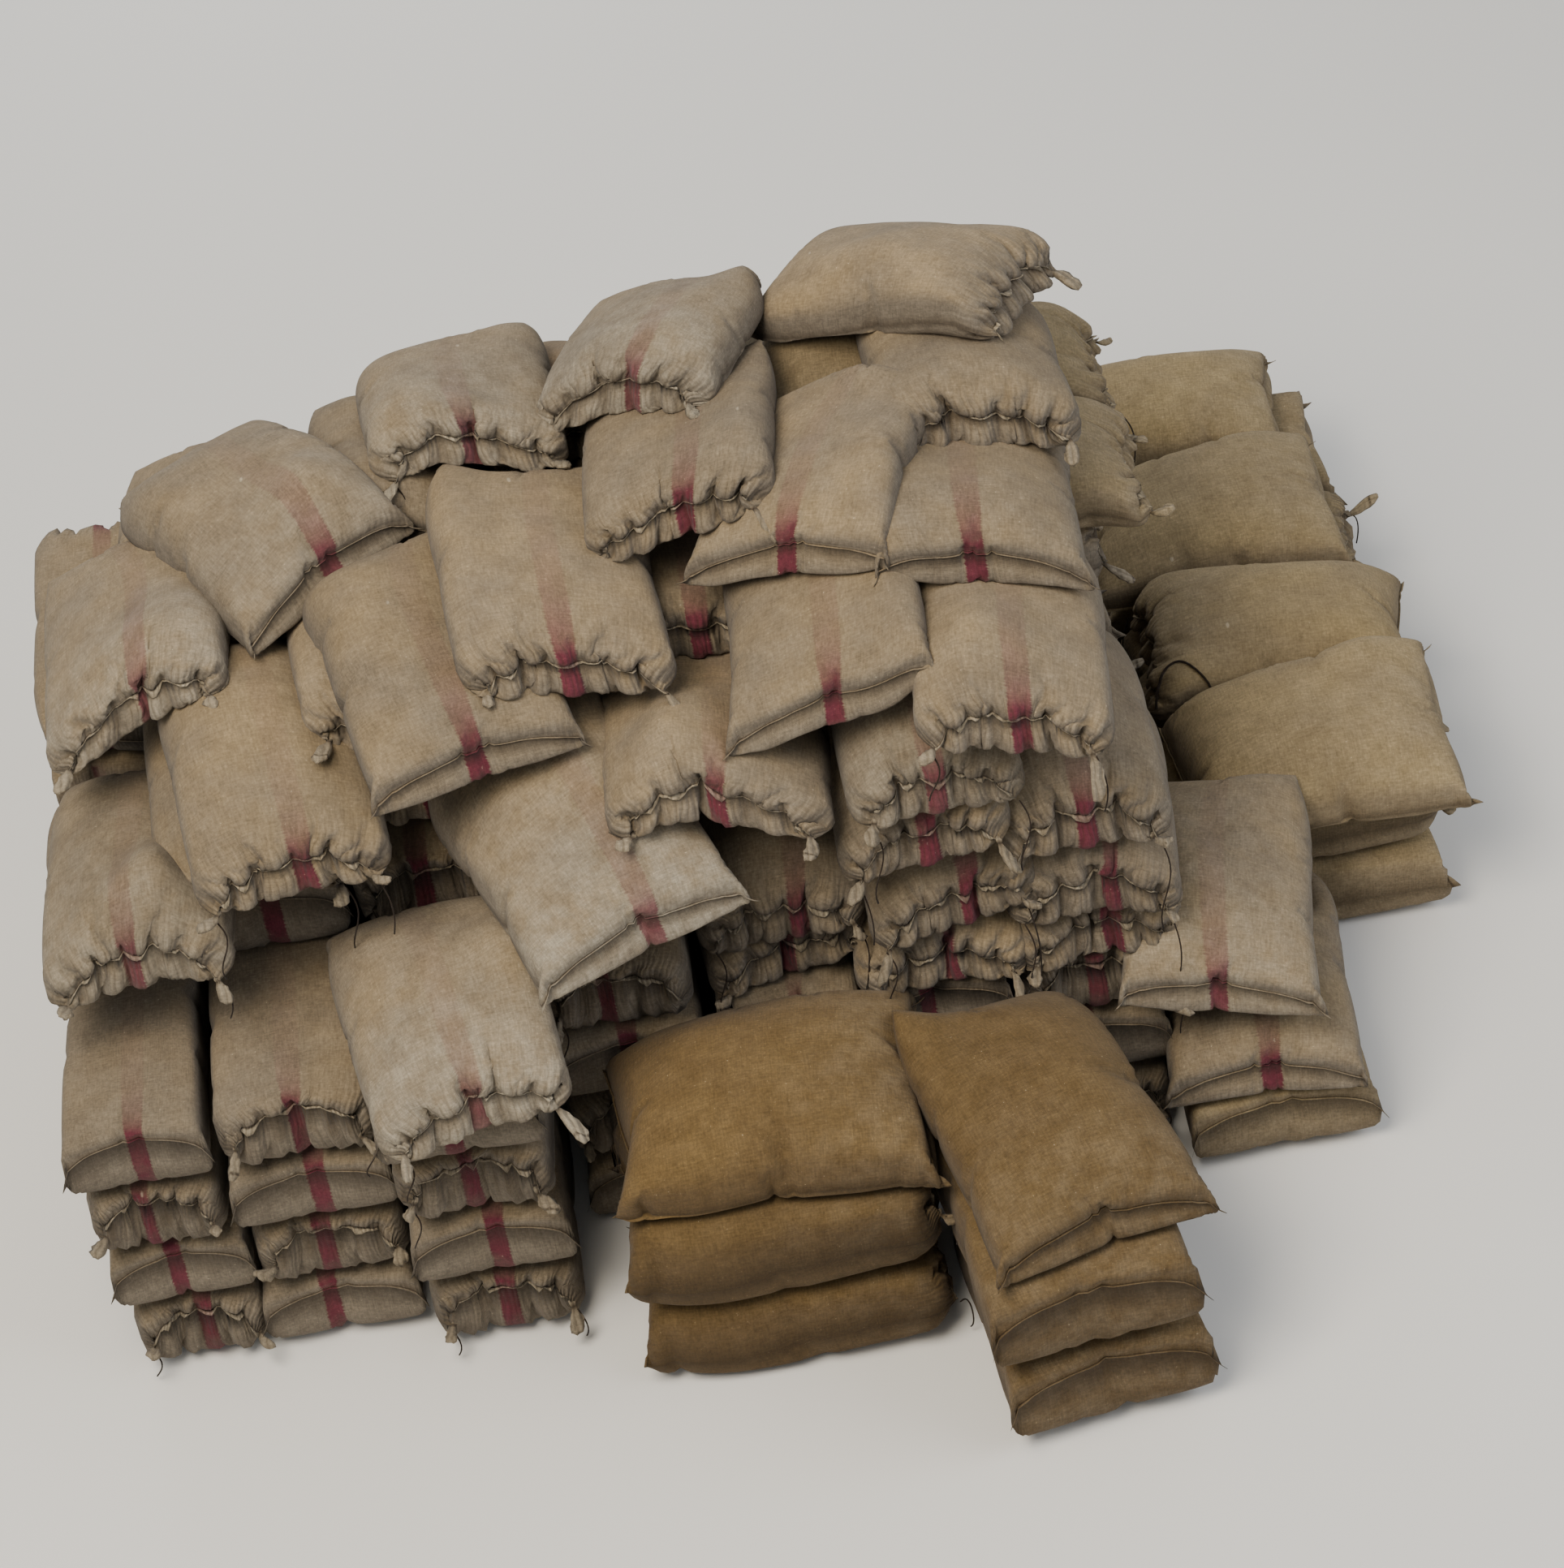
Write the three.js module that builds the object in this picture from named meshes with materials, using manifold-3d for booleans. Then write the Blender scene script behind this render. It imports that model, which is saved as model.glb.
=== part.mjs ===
// A heap of filled grain sacks, stacked flat in layers and stepping down to the front and to the right.
// Lengths are in millimetres. The heap stands on z = 0, its front looks towards -y and its open side towards +x.

import * as THREE from "three";
import Module from "manifold-3d";

const wasm = await Module();
wasm.setup();

const layerHeight = 262; // one flattened layer of the hidden courses
const gap = 0.8; // free space left between two touching sacks
const hair = 0.3; // the least of that space at a thin edge
const roughness = [1.5, 0.8, 0.4, 0.15, 0.05, 0.01]; // how coarsely a trimmed face may be drawn, best first
const waist = 0.1; // how far the long sides pull in between the corners
const endHollow = 0.06; // how far the sewn ends pull in between the corners
const gatherTaper = 0.2; // how much narrower a gathered mouth is than the sack
const settle = 0.8; // share of the half thickness left under a resting sack
const bedShare = 0.55; // share of the footprint that lies no higher than the bed of a sack
const climb = 0.7; // step, in thicknesses above the bed, from which a neighbour is a wall and carries nothing
const hang = 0.35; // how far, in thicknesses, an unsupported edge can drop under the bed
const sag = 9; // how far an unsupported edge hangs per grid step
const courseShrink = 0.9; // size of a flattened sack's upper and lower face against its middle
const coreInset = 12; // how far the hidden core lies under the faces of its course
const bite = 4; // how deep a resting sack is pressed on its carrier before it is trimmed to it

const weathered = { slot: "weathered_jute", colour: 0x84745a };
const dusty = { slot: "dusty_jute", colour: 0x8a7754 };
const fresh = { slot: "fresh_jute", colour: 0x65502f };
const inner = { slot: "hidden_jute", colour: 0x7d6e56 };

const acrossSteps = [-1, -0.84, -0.42, 0.42, 0.84, 1];
const alongSteps = [-1, -0.88, -0.55, 0, 0.55, 0.88, 1];

const placed = [];

// The height of the highest surface of the placed sacks at a point, or the floor.
function supportAt(x, y) {
  let top = 0;
  for (const solid of placed) {
    const { min, max } = solid.box;
    if (x < min[0] || x > max[0] || y < min[1] || y > max[1] || max[2] <= top) {
      continue;
    }
    const p = solid.points;
    for (let i = 0; i < p.length; i += 9) {
      const ax = p[i] - x;
      const ay = p[i + 1] - y;
      const bx = p[i + 3] - x;
      const by = p[i + 4] - y;
      const cx = p[i + 6] - x;
      const cy = p[i + 7] - y;
      const a = bx * cy - by * cx;
      const b = cx * ay - cy * ax;
      const c = ax * by - ay * bx;
      const whole = a + b + c;
      if (whole <= 0 || a < 0 || b < 0 || c < 0) {
        continue;
      }
      const z = (a * p[i + 2] + b * p[i + 5] + c * p[i + 8]) / whole;
      top = Math.max(top, z);
    }
  }
  return top;
}

// The outline and half thickness of a free sack at the share u across and v along, both from -1 to 1.
function sackPoint(sack, u, v) {
  const front = Math.max(0, -v);
  const taper = sack.mouth === "gathered" ? 1 - gatherTaper * front * front : 1;
  const x = (sack.width / 2) * u * taper * (1 - waist * (1 - v * v));
  const y = (sack.length / 2) * v * (1 - endHollow * (1 - u * u));
  const sideFall = Math.sqrt(Math.max(0, 1 - Math.abs(u) ** 2.8));
  const endFall = Math.sqrt(Math.max(0, 1 - Math.abs(v) ** 3.2));
  return { x, y, half: (sack.thick / 2) * sideFall * endFall };
}

// One closed surface from a grid of middle points: the upper sheet, the lower sheet and the rim they share.
function closeSheets(columns, rows, topOf, lowOf) {
  const points = [];
  const faces = [];
  const topIndex = (i, j) => j * columns + i;
  const lowIndex = new Map();
  for (let j = 0; j < rows; j++) {
    for (let i = 0; i < columns; i++) {
      points.push(...topOf(i, j));
    }
  }
  for (let j = 0; j < rows; j++) {
    for (let i = 0; i < columns; i++) {
      const onRim = i === 0 || j === 0 || i === columns - 1 || j === rows - 1;
      if (onRim) {
        lowIndex.set(topIndex(i, j), topIndex(i, j));
      } else {
        lowIndex.set(topIndex(i, j), points.length / 3);
        points.push(...lowOf(i, j));
      }
    }
  }
  for (let j = 0; j < rows - 1; j++) {
    for (let i = 0; i < columns - 1; i++) {
      const a = topIndex(i, j);
      const b = topIndex(i + 1, j);
      const c = topIndex(i + 1, j + 1);
      const d = topIndex(i, j + 1);
      const slanted = (i < (columns - 1) / 2) === (j < (rows - 1) / 2);
      const halves = slanted ? [[a, b, c], [a, c, d]] : [[a, b, d], [b, c, d]];
      for (const [p, q, r] of halves) {
        faces.push(p, q, r);
        faces.push(lowIndex.get(p), lowIndex.get(r), lowIndex.get(q));
      }
    }
  }
  return solidFrom(new Float32Array(points), new Uint32Array(faces));
}

function solidFrom(vertProperties, triVerts) {
  return new wasm.Manifold(new wasm.Mesh({ numProp: 3, vertProperties, triVerts }));
}

// A copy whose every face stands out by the gap.
function grown(solid) {
  const { vertProperties, triVerts } = solid.getMesh();
  const corner = (index) => new THREE.Vector3().fromArray(vertProperties, index * 3);
  const count = vertProperties.length / 3;
  const outward = Array.from({ length: count }, () => new THREE.Vector3());
  const facing = [];
  for (let i = 0; i < triVerts.length; i += 3) {
    const [a, b, c] = triVerts.subarray(i, i + 3);
    const first = corner(b).sub(corner(a));
    const normal = first.cross(corner(c).sub(corner(a))).normalize();
    facing.push(normal);
    [a, b, c].forEach((index) => outward[index].add(normal));
  }
  outward.forEach((direction) => direction.normalize());
  const least = new Float32Array(count).fill(1);
  facing.forEach((normal, face) => {
    for (const index of triVerts.subarray(face * 3, face * 3 + 3)) {
      least[index] = Math.min(least[index], normal.dot(outward[index]));
    }
  });
  const points = vertProperties.map((value, i) => {
    const index = Math.floor(i / 3);
    const direction = outward[index].getComponent(i % 3);
    return value + (direction * gap) / Math.max(0.12, least[index]);
  });
  const stretched = solidFrom(points, triVerts);
  const joined = stretched.add(solid);
  const plain = joined.asOriginal();
  [stretched, joined].forEach((part) => part.delete());
  return plain;
}

function isNear(box, other) {
  return [0, 1, 2].every((k) => box.min[k] < other.max[k] + 2 && other.min[k] < box.max[k] + 2);
}

function without(solid, cutter) {
  const rest = solid.subtract(cutter);
  solid.delete();
  return rest;
}

// Cuts away what lies in the placed sacks and their gap, and keeps the largest body.
// Where a thin edge of a neighbour still reaches in, copies of it moved by a hair cut it free.
function trimToNeighbours(solid) {
  let shape = solid;
  for (const other of placed) {
    if (isNear(shape.boundingBox(), other.box)) {
      shape = without(shape, other.cutter);
    }
  }
  for (const other of placed) {
    if (isNear(shape.boundingBox(), other.box)) {
      const common = shape.intersect(other.solid.translate([0, 0, hair]));
      if (common.volume() > 0) {
        for (const nudge of [[0, 0, hair], [hair, 0, 0], [-hair, 0, 0], [0, hair, 0], [0, -hair, 0]]) {
          shape = without(shape, other.solid.translate(nudge));
        }
      }
    }
  }
  const bodies = shape.decompose();
  shape.delete();
  bodies.sort((a, b) => b.volume() - a.volume());
  const near = placed.filter((other) => isNear(bodies[0].boundingBox(), other.box));
  const plain = roughness
    .map((tolerance) => bodies[0].simplify(tolerance))
    .find((body) => near.every((other) => body.intersect(other.solid).volume() === 0));
  const whole = (plain ?? bodies[0]).asOriginal();
  bodies.forEach((body) => body.delete());
  return whole;
}

function trianglesOf(solid) {
  const mesh = solid.getMesh();
  const points = new Float32Array(mesh.triVerts.length * 3);
  mesh.triVerts.forEach((index, i) => {
    const at = index * mesh.numProp;
    points.set(mesh.vertProperties.subarray(at, at + 3), i * 3);
  });
  return points;
}

function place(name, finish, solid) {
  const box = solid.boundingBox();
  placed.push({ name, finish, box, solid, points: trianglesOf(solid), cutter: grown(solid) });
}

// Lays a sack on whatever is under it. Its middle surface hangs like a stretched skin over the carriers.
function lay(name, x, y, turn, size, finish) {
  const sack = { mouth: "sewn", ...size };
  const columns = acrossSteps.length;
  const rows = alongSteps.length;
  const cos = Math.cos(THREE.MathUtils.degToRad(turn));
  const sin = Math.sin(THREE.MathUtils.degToRad(turn));
  const nodes = [];
  for (let j = 0; j < rows; j++) {
    for (let i = 0; i < columns; i++) {
      const local = sackPoint(sack, acrossSteps[i], alongSteps[j]);
      const px = x + local.x * cos - local.y * sin;
      const py = y + local.x * sin + local.y * cos;
      const reach = local.half > 0 ? 35 : 12;
      const carrier = supportAt(px, py);
      let under = carrier;
      for (const [dx, dy] of [[reach, 0], [-reach, 0], [0, reach], [0, -reach]]) {
        under = Math.max(under, supportAt(px + dx, py + dy));
      }
      nodes.push({ x: px, y: py, half: local.half, carrier, under });
    }
  }
  const heights = nodes.map((node) => node.under).sort((a, b) => a - b);
  const bed = heights[Math.floor(heights.length * bedShare)];
  const wall = bed + climb * sack.thick;
  for (const node of nodes) {
    node.under = node.under > wall ? bed : Math.max(node.under, bed - hang * sack.thick);
    node.carrier = node.carrier > wall ? 0 : node.carrier;
    node.least = node.under + (node.half > 0 ? settle * node.half : 6);
    node.mid = node.least;
  }
  const at = (i, j) => nodes[j * columns + i];
  for (let round = 0; round < 60; round++) {
    for (let j = 0; j < rows; j++) {
      for (let i = 0; i < columns; i++) {
        const around = [];
        if (i > 0) around.push(at(i - 1, j).mid);
        if (i < columns - 1) around.push(at(i + 1, j).mid);
        if (j > 0) around.push(at(i, j - 1).mid);
        if (j < rows - 1) around.push(at(i, j + 1).mid);
        const mean = around.reduce((sum, z) => sum + z, 0) / around.length;
        at(i, j).mid = Math.max(at(i, j).least, mean - sag);
      }
    }
  }
  let clearance = Infinity;
  for (const node of nodes) {
    node.low = Math.max(node.mid - node.half, node.under + 1);
    node.top = Math.max(node.mid + node.half, node.low + 12);
    clearance = Math.min(clearance, node.low - node.carrier);
  }
  const drop = clearance + bite;
  const free = closeSheets(
    columns,
    rows,
    (i, j) => [at(i, j).x, at(i, j).y, (at(i, j).half > 0 ? at(i, j).top : at(i, j).mid) - drop],
    (i, j) => [at(i, j).x, at(i, j).y, at(i, j).low - drop],
  );
  const standing = free.trimByPlane([0, 0, 1], 0);
  free.delete();
  place(name, finish, trimToNeighbours(standing));
}

// A flattened sack of a course: its outline bulges at half height and pulls in between the corners.
function flatSack(width, length, bottom, height) {
  const outline = [
    [-1, -1],
    [0, endHollow - 1],
    [1, -1],
    [1 - waist, 0],
    [1, 1],
    [0, 1 - endHollow],
    [-1, 1],
    [waist - 1, 0],
  ];
  const rings = [
    [bottom, courseShrink],
    [bottom + height / 2, 1],
    [bottom + height, courseShrink],
  ];
  const count = outline.length;
  const points = [0, 0, bottom, 0, 0, bottom + height];
  const faces = [];
  for (const [z, share] of rings) {
    for (const [u, v] of outline) {
      points.push((u * share * width) / 2, (v * share * length) / 2, z);
    }
  }
  const at = (ring, i) => 2 + ring * count + (i % count);
  for (let i = 0; i < count; i++) {
    faces.push(0, at(0, i + 1), at(0, i));
    faces.push(1, at(2, i), at(2, i + 1));
    for (const ring of [0, 1]) {
      faces.push(at(ring, i), at(ring, i + 1), at(ring + 1, i + 1));
      faces.push(at(ring, i), at(ring + 1, i + 1), at(ring + 1, i));
    }
  }
  return solidFrom(new Float32Array(points), new Uint32Array(faces));
}

// A plain course: sacks that lean on each other, in one solid with gaps in its faces.
// Each core is a block from one corner to the other that closes the hollow between them.
function course(name, bottom, height, spots, cores, finish) {
  const low = bottom === 0 ? 0 : bottom + gap + 0.1;
  const parts = cores.map(([left, front, right, back]) => {
    const block = wasm.Manifold.cube([right - left, back - front, height - 2 * coreInset]);
    return block.translate([left, front, bottom + coreInset]);
  });
  for (const [x, y, turn, width, length] of spots) {
    const flat = flatSack(width, length, low, bottom + height - low);
    parts.push(flat.rotate([0, 0, turn]).translate([x, y, 0]));
    flat.delete();
  }
  const joined = wasm.Manifold.union(parts);
  const plain = joined.simplify(1);
  const whole = plain.asOriginal();
  [...parts, joined, plain].forEach((part) => part.delete());
  place(name, finish, whole);
}

const usual = { width: 580, length: 880, thick: 285 };
const gathered = { ...usual, mouth: "gathered" };
const narrow = { width: 520, length: 860, thick: 290, mouth: "gathered" };
const corner = { width: 520, length: 860, thick: 312, mouth: "gathered" };
const broad = { width: 640, length: 930, thick: 290 };

// Where the sacks of the lower courses lie: x, y, turn, width, length.
const backRow = [
  [-330, 1160, 90, 464, 900],
  [-330, 1630, 90, 464, 900],
  [-1022, 1390, 0, 470, 920],
  [-1500, 1390, 0, 470, 920],
  [-1978, 1390, 0, 470, 920],
  [-2456, 1390, 0, 470, 920],
  [-2904, 1390, 0, 410, 920],
];
const middleRow = [[-2904, 770, 0, 410, 305]];
const frontRow = [
  [-1985, 60, 0, 470, 920],
  [-2462, 150, 0, 470, 920],
  [-2908, 150, 0, 410, 920],
  [-1500, 430, 0, 460, 900],
];
const fifthRow = [
  [-2904, 610, 0, 410, 620],
  [-2450, 610, 0, 470, 620],
  [-1978, 610, 0, 470, 620],
  [-1500, 610, 0, 460, 620],
];
const columnFeet = [
  [-150, 420, 0, 434, 900],
  [-590, 430, 0, 434, 900],
  [-1040, 440, 0, 434, 900],
];
const leftCore = [-2850, 300, -1300, 1500];
const backCore = [-1400, 1000, -300, 1550];
const footCore = [-1400, 300, -250, 1100];

for (const level of [0, 1, 2]) {
  const spots = [...backRow, ...middleRow, ...frontRow, ...columnFeet];
  const fillers = [leftCore, backCore, footCore];
  course(`course_${level + 1}`, level * layerHeight, layerHeight, spots, fillers, inner);
}
const fourthSpots = [...backRow, ...middleRow, ...frontRow];
course("course_4", 3 * layerHeight, layerHeight, fourthSpots, [leftCore, backCore], inner);
course("course_5", 4 * layerHeight, layerHeight, [...backRow, ...fifthRow], [leftCore, backCore], inner);
course("course_6", 5 * layerHeight, layerHeight, backRow, [backCore, [-2850, 1000, -1300, 1500]], inner);

// The lower row on the right, with the sacks across, and the fresh sacks before the front.
const sideHeight = 270;
const sideRow = [
  [600, 930, 90, 500, 900],
  [600, 1440, 90, 500, 900],
  [585, 1950, 90, 500, 900],
  [560, 2460, 90, 500, 900],
  [365, 235, 0, 560, 870],
];
const sideCore = [300, 400, 550, 2350];
for (const level of [0, 1]) {
  const spots = level ? sideRow.slice(0, 4) : sideRow;
  course(`side_course_${level + 1}`, level * sideHeight, sideHeight, spots, [sideCore], dusty);
}
const freshHeight = 330;
const freshRow = [
  [-1150, -390, 90, 600, 920],
  [-365, -640, 8, 600, 900],
];
const freshCore = [-900, -550, -500, -300];
for (const level of [0, 1]) {
  course(`fresh_course_${level + 1}`, level * freshHeight, freshHeight, freshRow, [freshCore], fresh);
}

// The front columns, seen end on, from the fourth layer up.
lay("column_right_4", -110, 410, 2, corner, weathered);
lay("column_middle_4", -560, 400, -2, narrow, weathered);
lay("column_left_4", -1010, 520, 3, narrow, weathered);
lay("column_right_5", -95, 400, -3, corner, weathered);
lay("column_middle_5", -530, 400, 3, narrow, weathered);
lay("column_left_5", -990, 500, -2, narrow, weathered);
lay("column_right_6", -120, 410, 1, corner, weathered);
lay("column_middle_6", -550, 380, -2, narrow, weathered);

// The fresh sacks on top of their pile.
lay("fresh_left", -1130, -300, 88, { ...broad, width: 680, thick: 345 }, fresh);
lay("fresh_right", -370, -530, 14, { ...broad, thick: 310 }, fresh);

// The stepped sacks low down on the left.
lay("step_hidden", -1500, 380, 6, usual, weathered);
lay("step_front", -1990, -80, 10, gathered, weathered);
lay("step_end_middle", -1990, 830, 0, gathered, weathered);
lay("step_end_left", -2440, 560, 2, gathered, weathered);
lay("step_top_left", -2350, 420, 7, gathered, weathered);
lay("step_edge", -2780, 400, -3, gathered, weathered);
lay("step_top_middle", -1960, 800, 4, gathered, weathered);
lay("slanting_front", -1545, 190, 22, broad, weathered);
lay("front_low", -1085, 390, -4, { ...gathered, width: 640 }, weathered);

// The seventh layer.
lay("corner_low_front", -180, 1160, 90, { ...usual, width: 470 }, dusty);
lay("corner_low_back", -200, 1640, 90, { ...usual, width: 470 }, dusty);
lay("front_inner", -520, 370, 2, narrow, weathered);
lay("corner_front", -250, 290, -5, { ...gathered, width: 560, length: 840 }, weathered);
lay("back_plain_left", -2080, 1520, 4, usual, weathered);
lay("back_plain_middle", -1890, 1340, 0, usual, weathered);
lay("back_plain_right", -1460, 1440, 3, usual, weathered);
lay("edge_back", -2540, 1440, -8, usual, weathered);
lay("edge_front", -2700, 900, 2, gathered, weathered);
lay("diagonal_left", -2310, 1120, 32, usual, weathered);
lay("front_left", -1850, 510, 15, { ...usual, width: 610, length: 820 }, weathered);
lay("behind_low", -1110, 960, 0, gathered, weathered);
lay("front_middle", -1480, 690, 4, { ...gathered, width: 620 }, weathered);
lay("back_small", -1370, 1600, -8, { ...gathered, width: 460, length: 700 }, weathered);
lay("shaded_back", -690, 1560, 4, { ...usual, width: 520, length: 800 }, dusty);
lay("shaded_front", -620, 1330, -3, { ...usual, width: 520, length: 800 }, dusty);

// The loose top sacks.
lay("front_centre", -735, 430, -4, { ...usual, width: 590, length: 770 }, weathered);
lay("corner_second", -250, 740, -4, usual, weathered);
lay("corner_third", -215, 1150, 2, { ...usual, length: 800 }, weathered);
lay("corner_back", -360, 1430, 60, { ...usual, length: 820 }, weathered);
lay("turned_middle", -700, 760, -22, { ...usual, width: 600, length: 680 }, weathered);
lay("round_middle", -1050, 980, -5, { ...gathered, width: 570, length: 780 }, weathered);
lay("back_left", -1690, 1390, 6, { ...gathered, length: 700 }, weathered);
lay("back_middle", -1080, 1330, -24, { ...gathered, width: 580, length: 620 }, weathered);

// The top of the lower row on the right, and the two striped sacks before it.
lay("side_back", 440, 2560, 86, usual, dusty);
lay("side_third", 520, 2000, 92, usual, dusty);
lay("side_second", 650, 1400, 88, usual, dusty);
lay("side_first", 660, 890, 91, usual, dusty);
lay("side_striped_low", 340, 240, -5, usual, weathered);
lay("side_striped_top", 275, 290, -9, usual, weathered);

const joinedBox = new THREE.Box3();
for (const solid of placed) {
  joinedBox.union(new THREE.Box3(new THREE.Vector3(...solid.box.min), new THREE.Vector3(...solid.box.max)));
}
const middle = joinedBox.getCenter(new THREE.Vector3());

const heap = new THREE.Group();
for (const { name, finish, points } of placed) {
  const geometry = new THREE.BufferGeometry();
  geometry.setAttribute("position", new THREE.BufferAttribute(points, 3));
  geometry.translate(-middle.x, -middle.y, -joinedBox.min.z);
  geometry.computeVertexNormals();
  const material = new THREE.MeshStandardMaterial({ color: finish.colour, roughness: 0.95, metalness: 0 });
  material.name = finish.slot;
  const mesh = new THREE.Mesh(geometry, material);
  mesh.name = name;
  heap.add(mesh);
}

export default heap;
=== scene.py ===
import bpy
import math
import numpy as np
from mathutils import Matrix, Vector
from mathutils.bvhtree import BVHTree


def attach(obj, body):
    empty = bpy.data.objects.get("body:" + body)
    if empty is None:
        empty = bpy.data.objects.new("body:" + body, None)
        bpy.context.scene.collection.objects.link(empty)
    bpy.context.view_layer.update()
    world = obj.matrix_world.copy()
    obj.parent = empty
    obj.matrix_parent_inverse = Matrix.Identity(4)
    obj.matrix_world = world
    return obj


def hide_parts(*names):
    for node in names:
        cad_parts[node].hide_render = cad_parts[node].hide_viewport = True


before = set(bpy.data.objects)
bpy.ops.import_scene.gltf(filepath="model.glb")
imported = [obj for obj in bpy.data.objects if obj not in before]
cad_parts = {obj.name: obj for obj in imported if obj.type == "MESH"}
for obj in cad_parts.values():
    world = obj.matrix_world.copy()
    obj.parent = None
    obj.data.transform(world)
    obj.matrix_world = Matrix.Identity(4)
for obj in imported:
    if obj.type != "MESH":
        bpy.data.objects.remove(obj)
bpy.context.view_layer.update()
print("stage 1: frame loaded,", len(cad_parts), "solids")

# The heap was laid out from its front right corner. This is its middle in that layout, in metres.
heapMiddle = (-1.004, 0.8763)


# Camera: it looks down on the heap from above and in front, as the photograph does.
cameraSettings = {
    "place": (0.269, -9.278, 9.834),
    "target": (0.06, -0.12, 0.96),
    "heading": (0.431, 0.902),  # the photograph's direction of view, seen from above
    "pitch": 22.0,  # degrees by which that view is tilted down
    "lens": 98.0,
    "sensor": 36.0,
    "farthest": 200.0,
}


def makeCamera(settings):
    data = bpy.data.cameras.new("heapCamera")
    data.lens = settings["lens"]
    data.sensor_width = settings["sensor"]
    data.clip_end = settings["farthest"]
    holder = bpy.data.objects.new("heapCamera", data)
    bpy.context.scene.collection.objects.link(holder)
    place = Vector(settings["place"])
    forward = (Vector(settings["target"]) - place).normalized()
    hx, hy = settings["heading"]
    pitch = math.radians(settings["pitch"])
    photoUp = Vector((hx * math.sin(pitch), hy * math.sin(pitch), math.cos(pitch)))
    up = (photoUp - forward * photoUp.dot(forward)).normalized()
    right = forward.cross(up)
    turn = Matrix((right, up, -forward)).transposed().to_4x4()
    holder.matrix_world = Matrix.Translation(place) @ turn
    bpy.context.scene.camera = holder


makeCamera(cameraSettings)
print("stage 2: camera placed")


# A sheet of jute is a grid: rows run along the sack, columns across it. Rows are closer at both ends.
sheetSettings = {
    "width": 0.72,
    "length": 1.04,
    "columns": 50,
    "rows": 60,
    "sideCrowding": 0.25,  # above 0 for columns that crowd at the sides
    "endCrowding": 0.55,  # the same for rows at the ends
    "crown": 0.02,  # metres by which each flat sheet is raised in the middle before it is filled
    "ripple": 0.0025,
    "swell": 0.002,
}


# Positions from -1 to 1, pulled towards both ends: t * (1 - c) + c * sin(t * 90 degrees).
def crowded(count, crowding):
    t = np.linspace(-1, 1, count)
    return t * (1 - crowding) + crowding * np.sin(t * np.pi / 2)


# Smooth noise on a grid: random values on a lattice of so many cells, joined by a cosine blend.
def softNoise(rng, shape, cells):
    across = np.linspace(0, cells[1], shape[1])
    along = np.linspace(0, cells[0], shape[0])
    lattice = rng.uniform(-1, 1, (int(cells[0]) + 2, int(cells[1]) + 2))
    i, j = along.astype(int), across.astype(int)
    a = (1 - np.cos((along - i) * np.pi))[:, None] / 2
    b = (1 - np.cos((across - j) * np.pi))[None, :] / 2
    i, j = i[:, None], j[None, :]
    low = lattice[i, j] * (1 - b) + lattice[i, j + 1] * b
    high = lattice[i + 1, j] * (1 - b) + lattice[i + 1, j + 1] * b
    return low * (1 - a) + high * a


# Sum of the four neighbours of each value inside a grid's border.
def neighbourSum(wide):
    return wide[:-2, 1:-1] + wide[2:, 1:-1] + wide[1:-1, :-2] + wide[1:-1, 2:]


# Averages each grid value with its four neighbours, again and again. The border repeats its own values.
def smoothed(values, rounds):
    result = values.astype(float)
    for _ in range(rounds):
        result = (neighbourSum(np.pad(result, 1, mode="edge")) + 4 * result) / 8
    return result


# Faces of two grids that share their rim. The lower grid's are turned over.
def sheetFaces(rows, columns):
    upper = np.arange(rows * columns).reshape(rows, columns)
    lower = upper.copy()
    inside = (rows - 2) * (columns - 2)
    lower[1:-1, 1:-1] = rows * columns + np.arange(inside).reshape(rows - 2, columns - 2)
    top = np.stack([upper[:-1, :-1], upper[:-1, 1:], upper[1:, 1:], upper[1:, :-1]], -1).reshape(-1, 4)
    under = np.stack([lower[:-1, :-1], lower[1:, :-1], lower[1:, 1:], lower[:-1, 1:]], -1).reshape(-1, 4)
    return upper, lower, np.vstack([top, under])


# A mesh from points and faces of four corners.
def meshFrom(name, points, faces):
    mesh = bpy.data.meshes.new(name)
    mesh.from_pydata(points.tolist(), [], faces.tolist())
    mesh.update()
    return mesh


# Blows up two sewn sheets: the edges pull in and pucker, and the corners stay as ears. A gathered mouth's
# cloth shrinks along the front edge, so that it falls in pleats.
fillSettings = {
    "frames": 26,
    "cloth": {
        "quality": 5,
        "mass": 0.3,
        "air_damping": 2.0,
        "tension_stiffness": 22.0,
        "compression_stiffness": 13.2,
        "shear_stiffness": 9.0,
        "bending_stiffness": 0.25,
        "use_pressure": True,
        "uniform_pressure_force": 9.0,
    },
    "gatherShrink": 0.15,
    "gatherDepth": 0.05,  # metres of cloth that the gathering takes in
}


# Two flat sheets with a shared rim: height = crown * (1 - u^4) * (1 - v^4), up or down, plus soft ripples.
def flatSheets(rng):
    columns, rows = sheetSettings["columns"], sheetSettings["rows"]
    across = crowded(columns, sheetSettings["sideCrowding"])
    u, v = np.meshgrid(across, crowded(rows, sheetSettings["endCrowding"]))
    x, y = u * sheetSettings["width"] / 2, v * sheetSettings["length"] / 2
    crown = sheetSettings["crown"] * (1 - u ** 4) * (1 - v ** 4)
    ripple = sheetSettings["ripple"] * softNoise(rng, u.shape, (16, 13))
    ripple = ripple + sheetSettings["swell"] * softNoise(rng, u.shape, (7, 6))
    upper, lower, faces = sheetFaces(rows, columns)
    points = np.zeros((lower.max() + 1, 3))
    points[lower.ravel()] = np.stack([x, y, ripple - crown], -1).reshape(-1, 3)
    points[upper.ravel()] = np.stack([x, y, ripple + crown], -1).reshape(-1, 3)
    return points, faces, upper, lower, y


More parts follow.
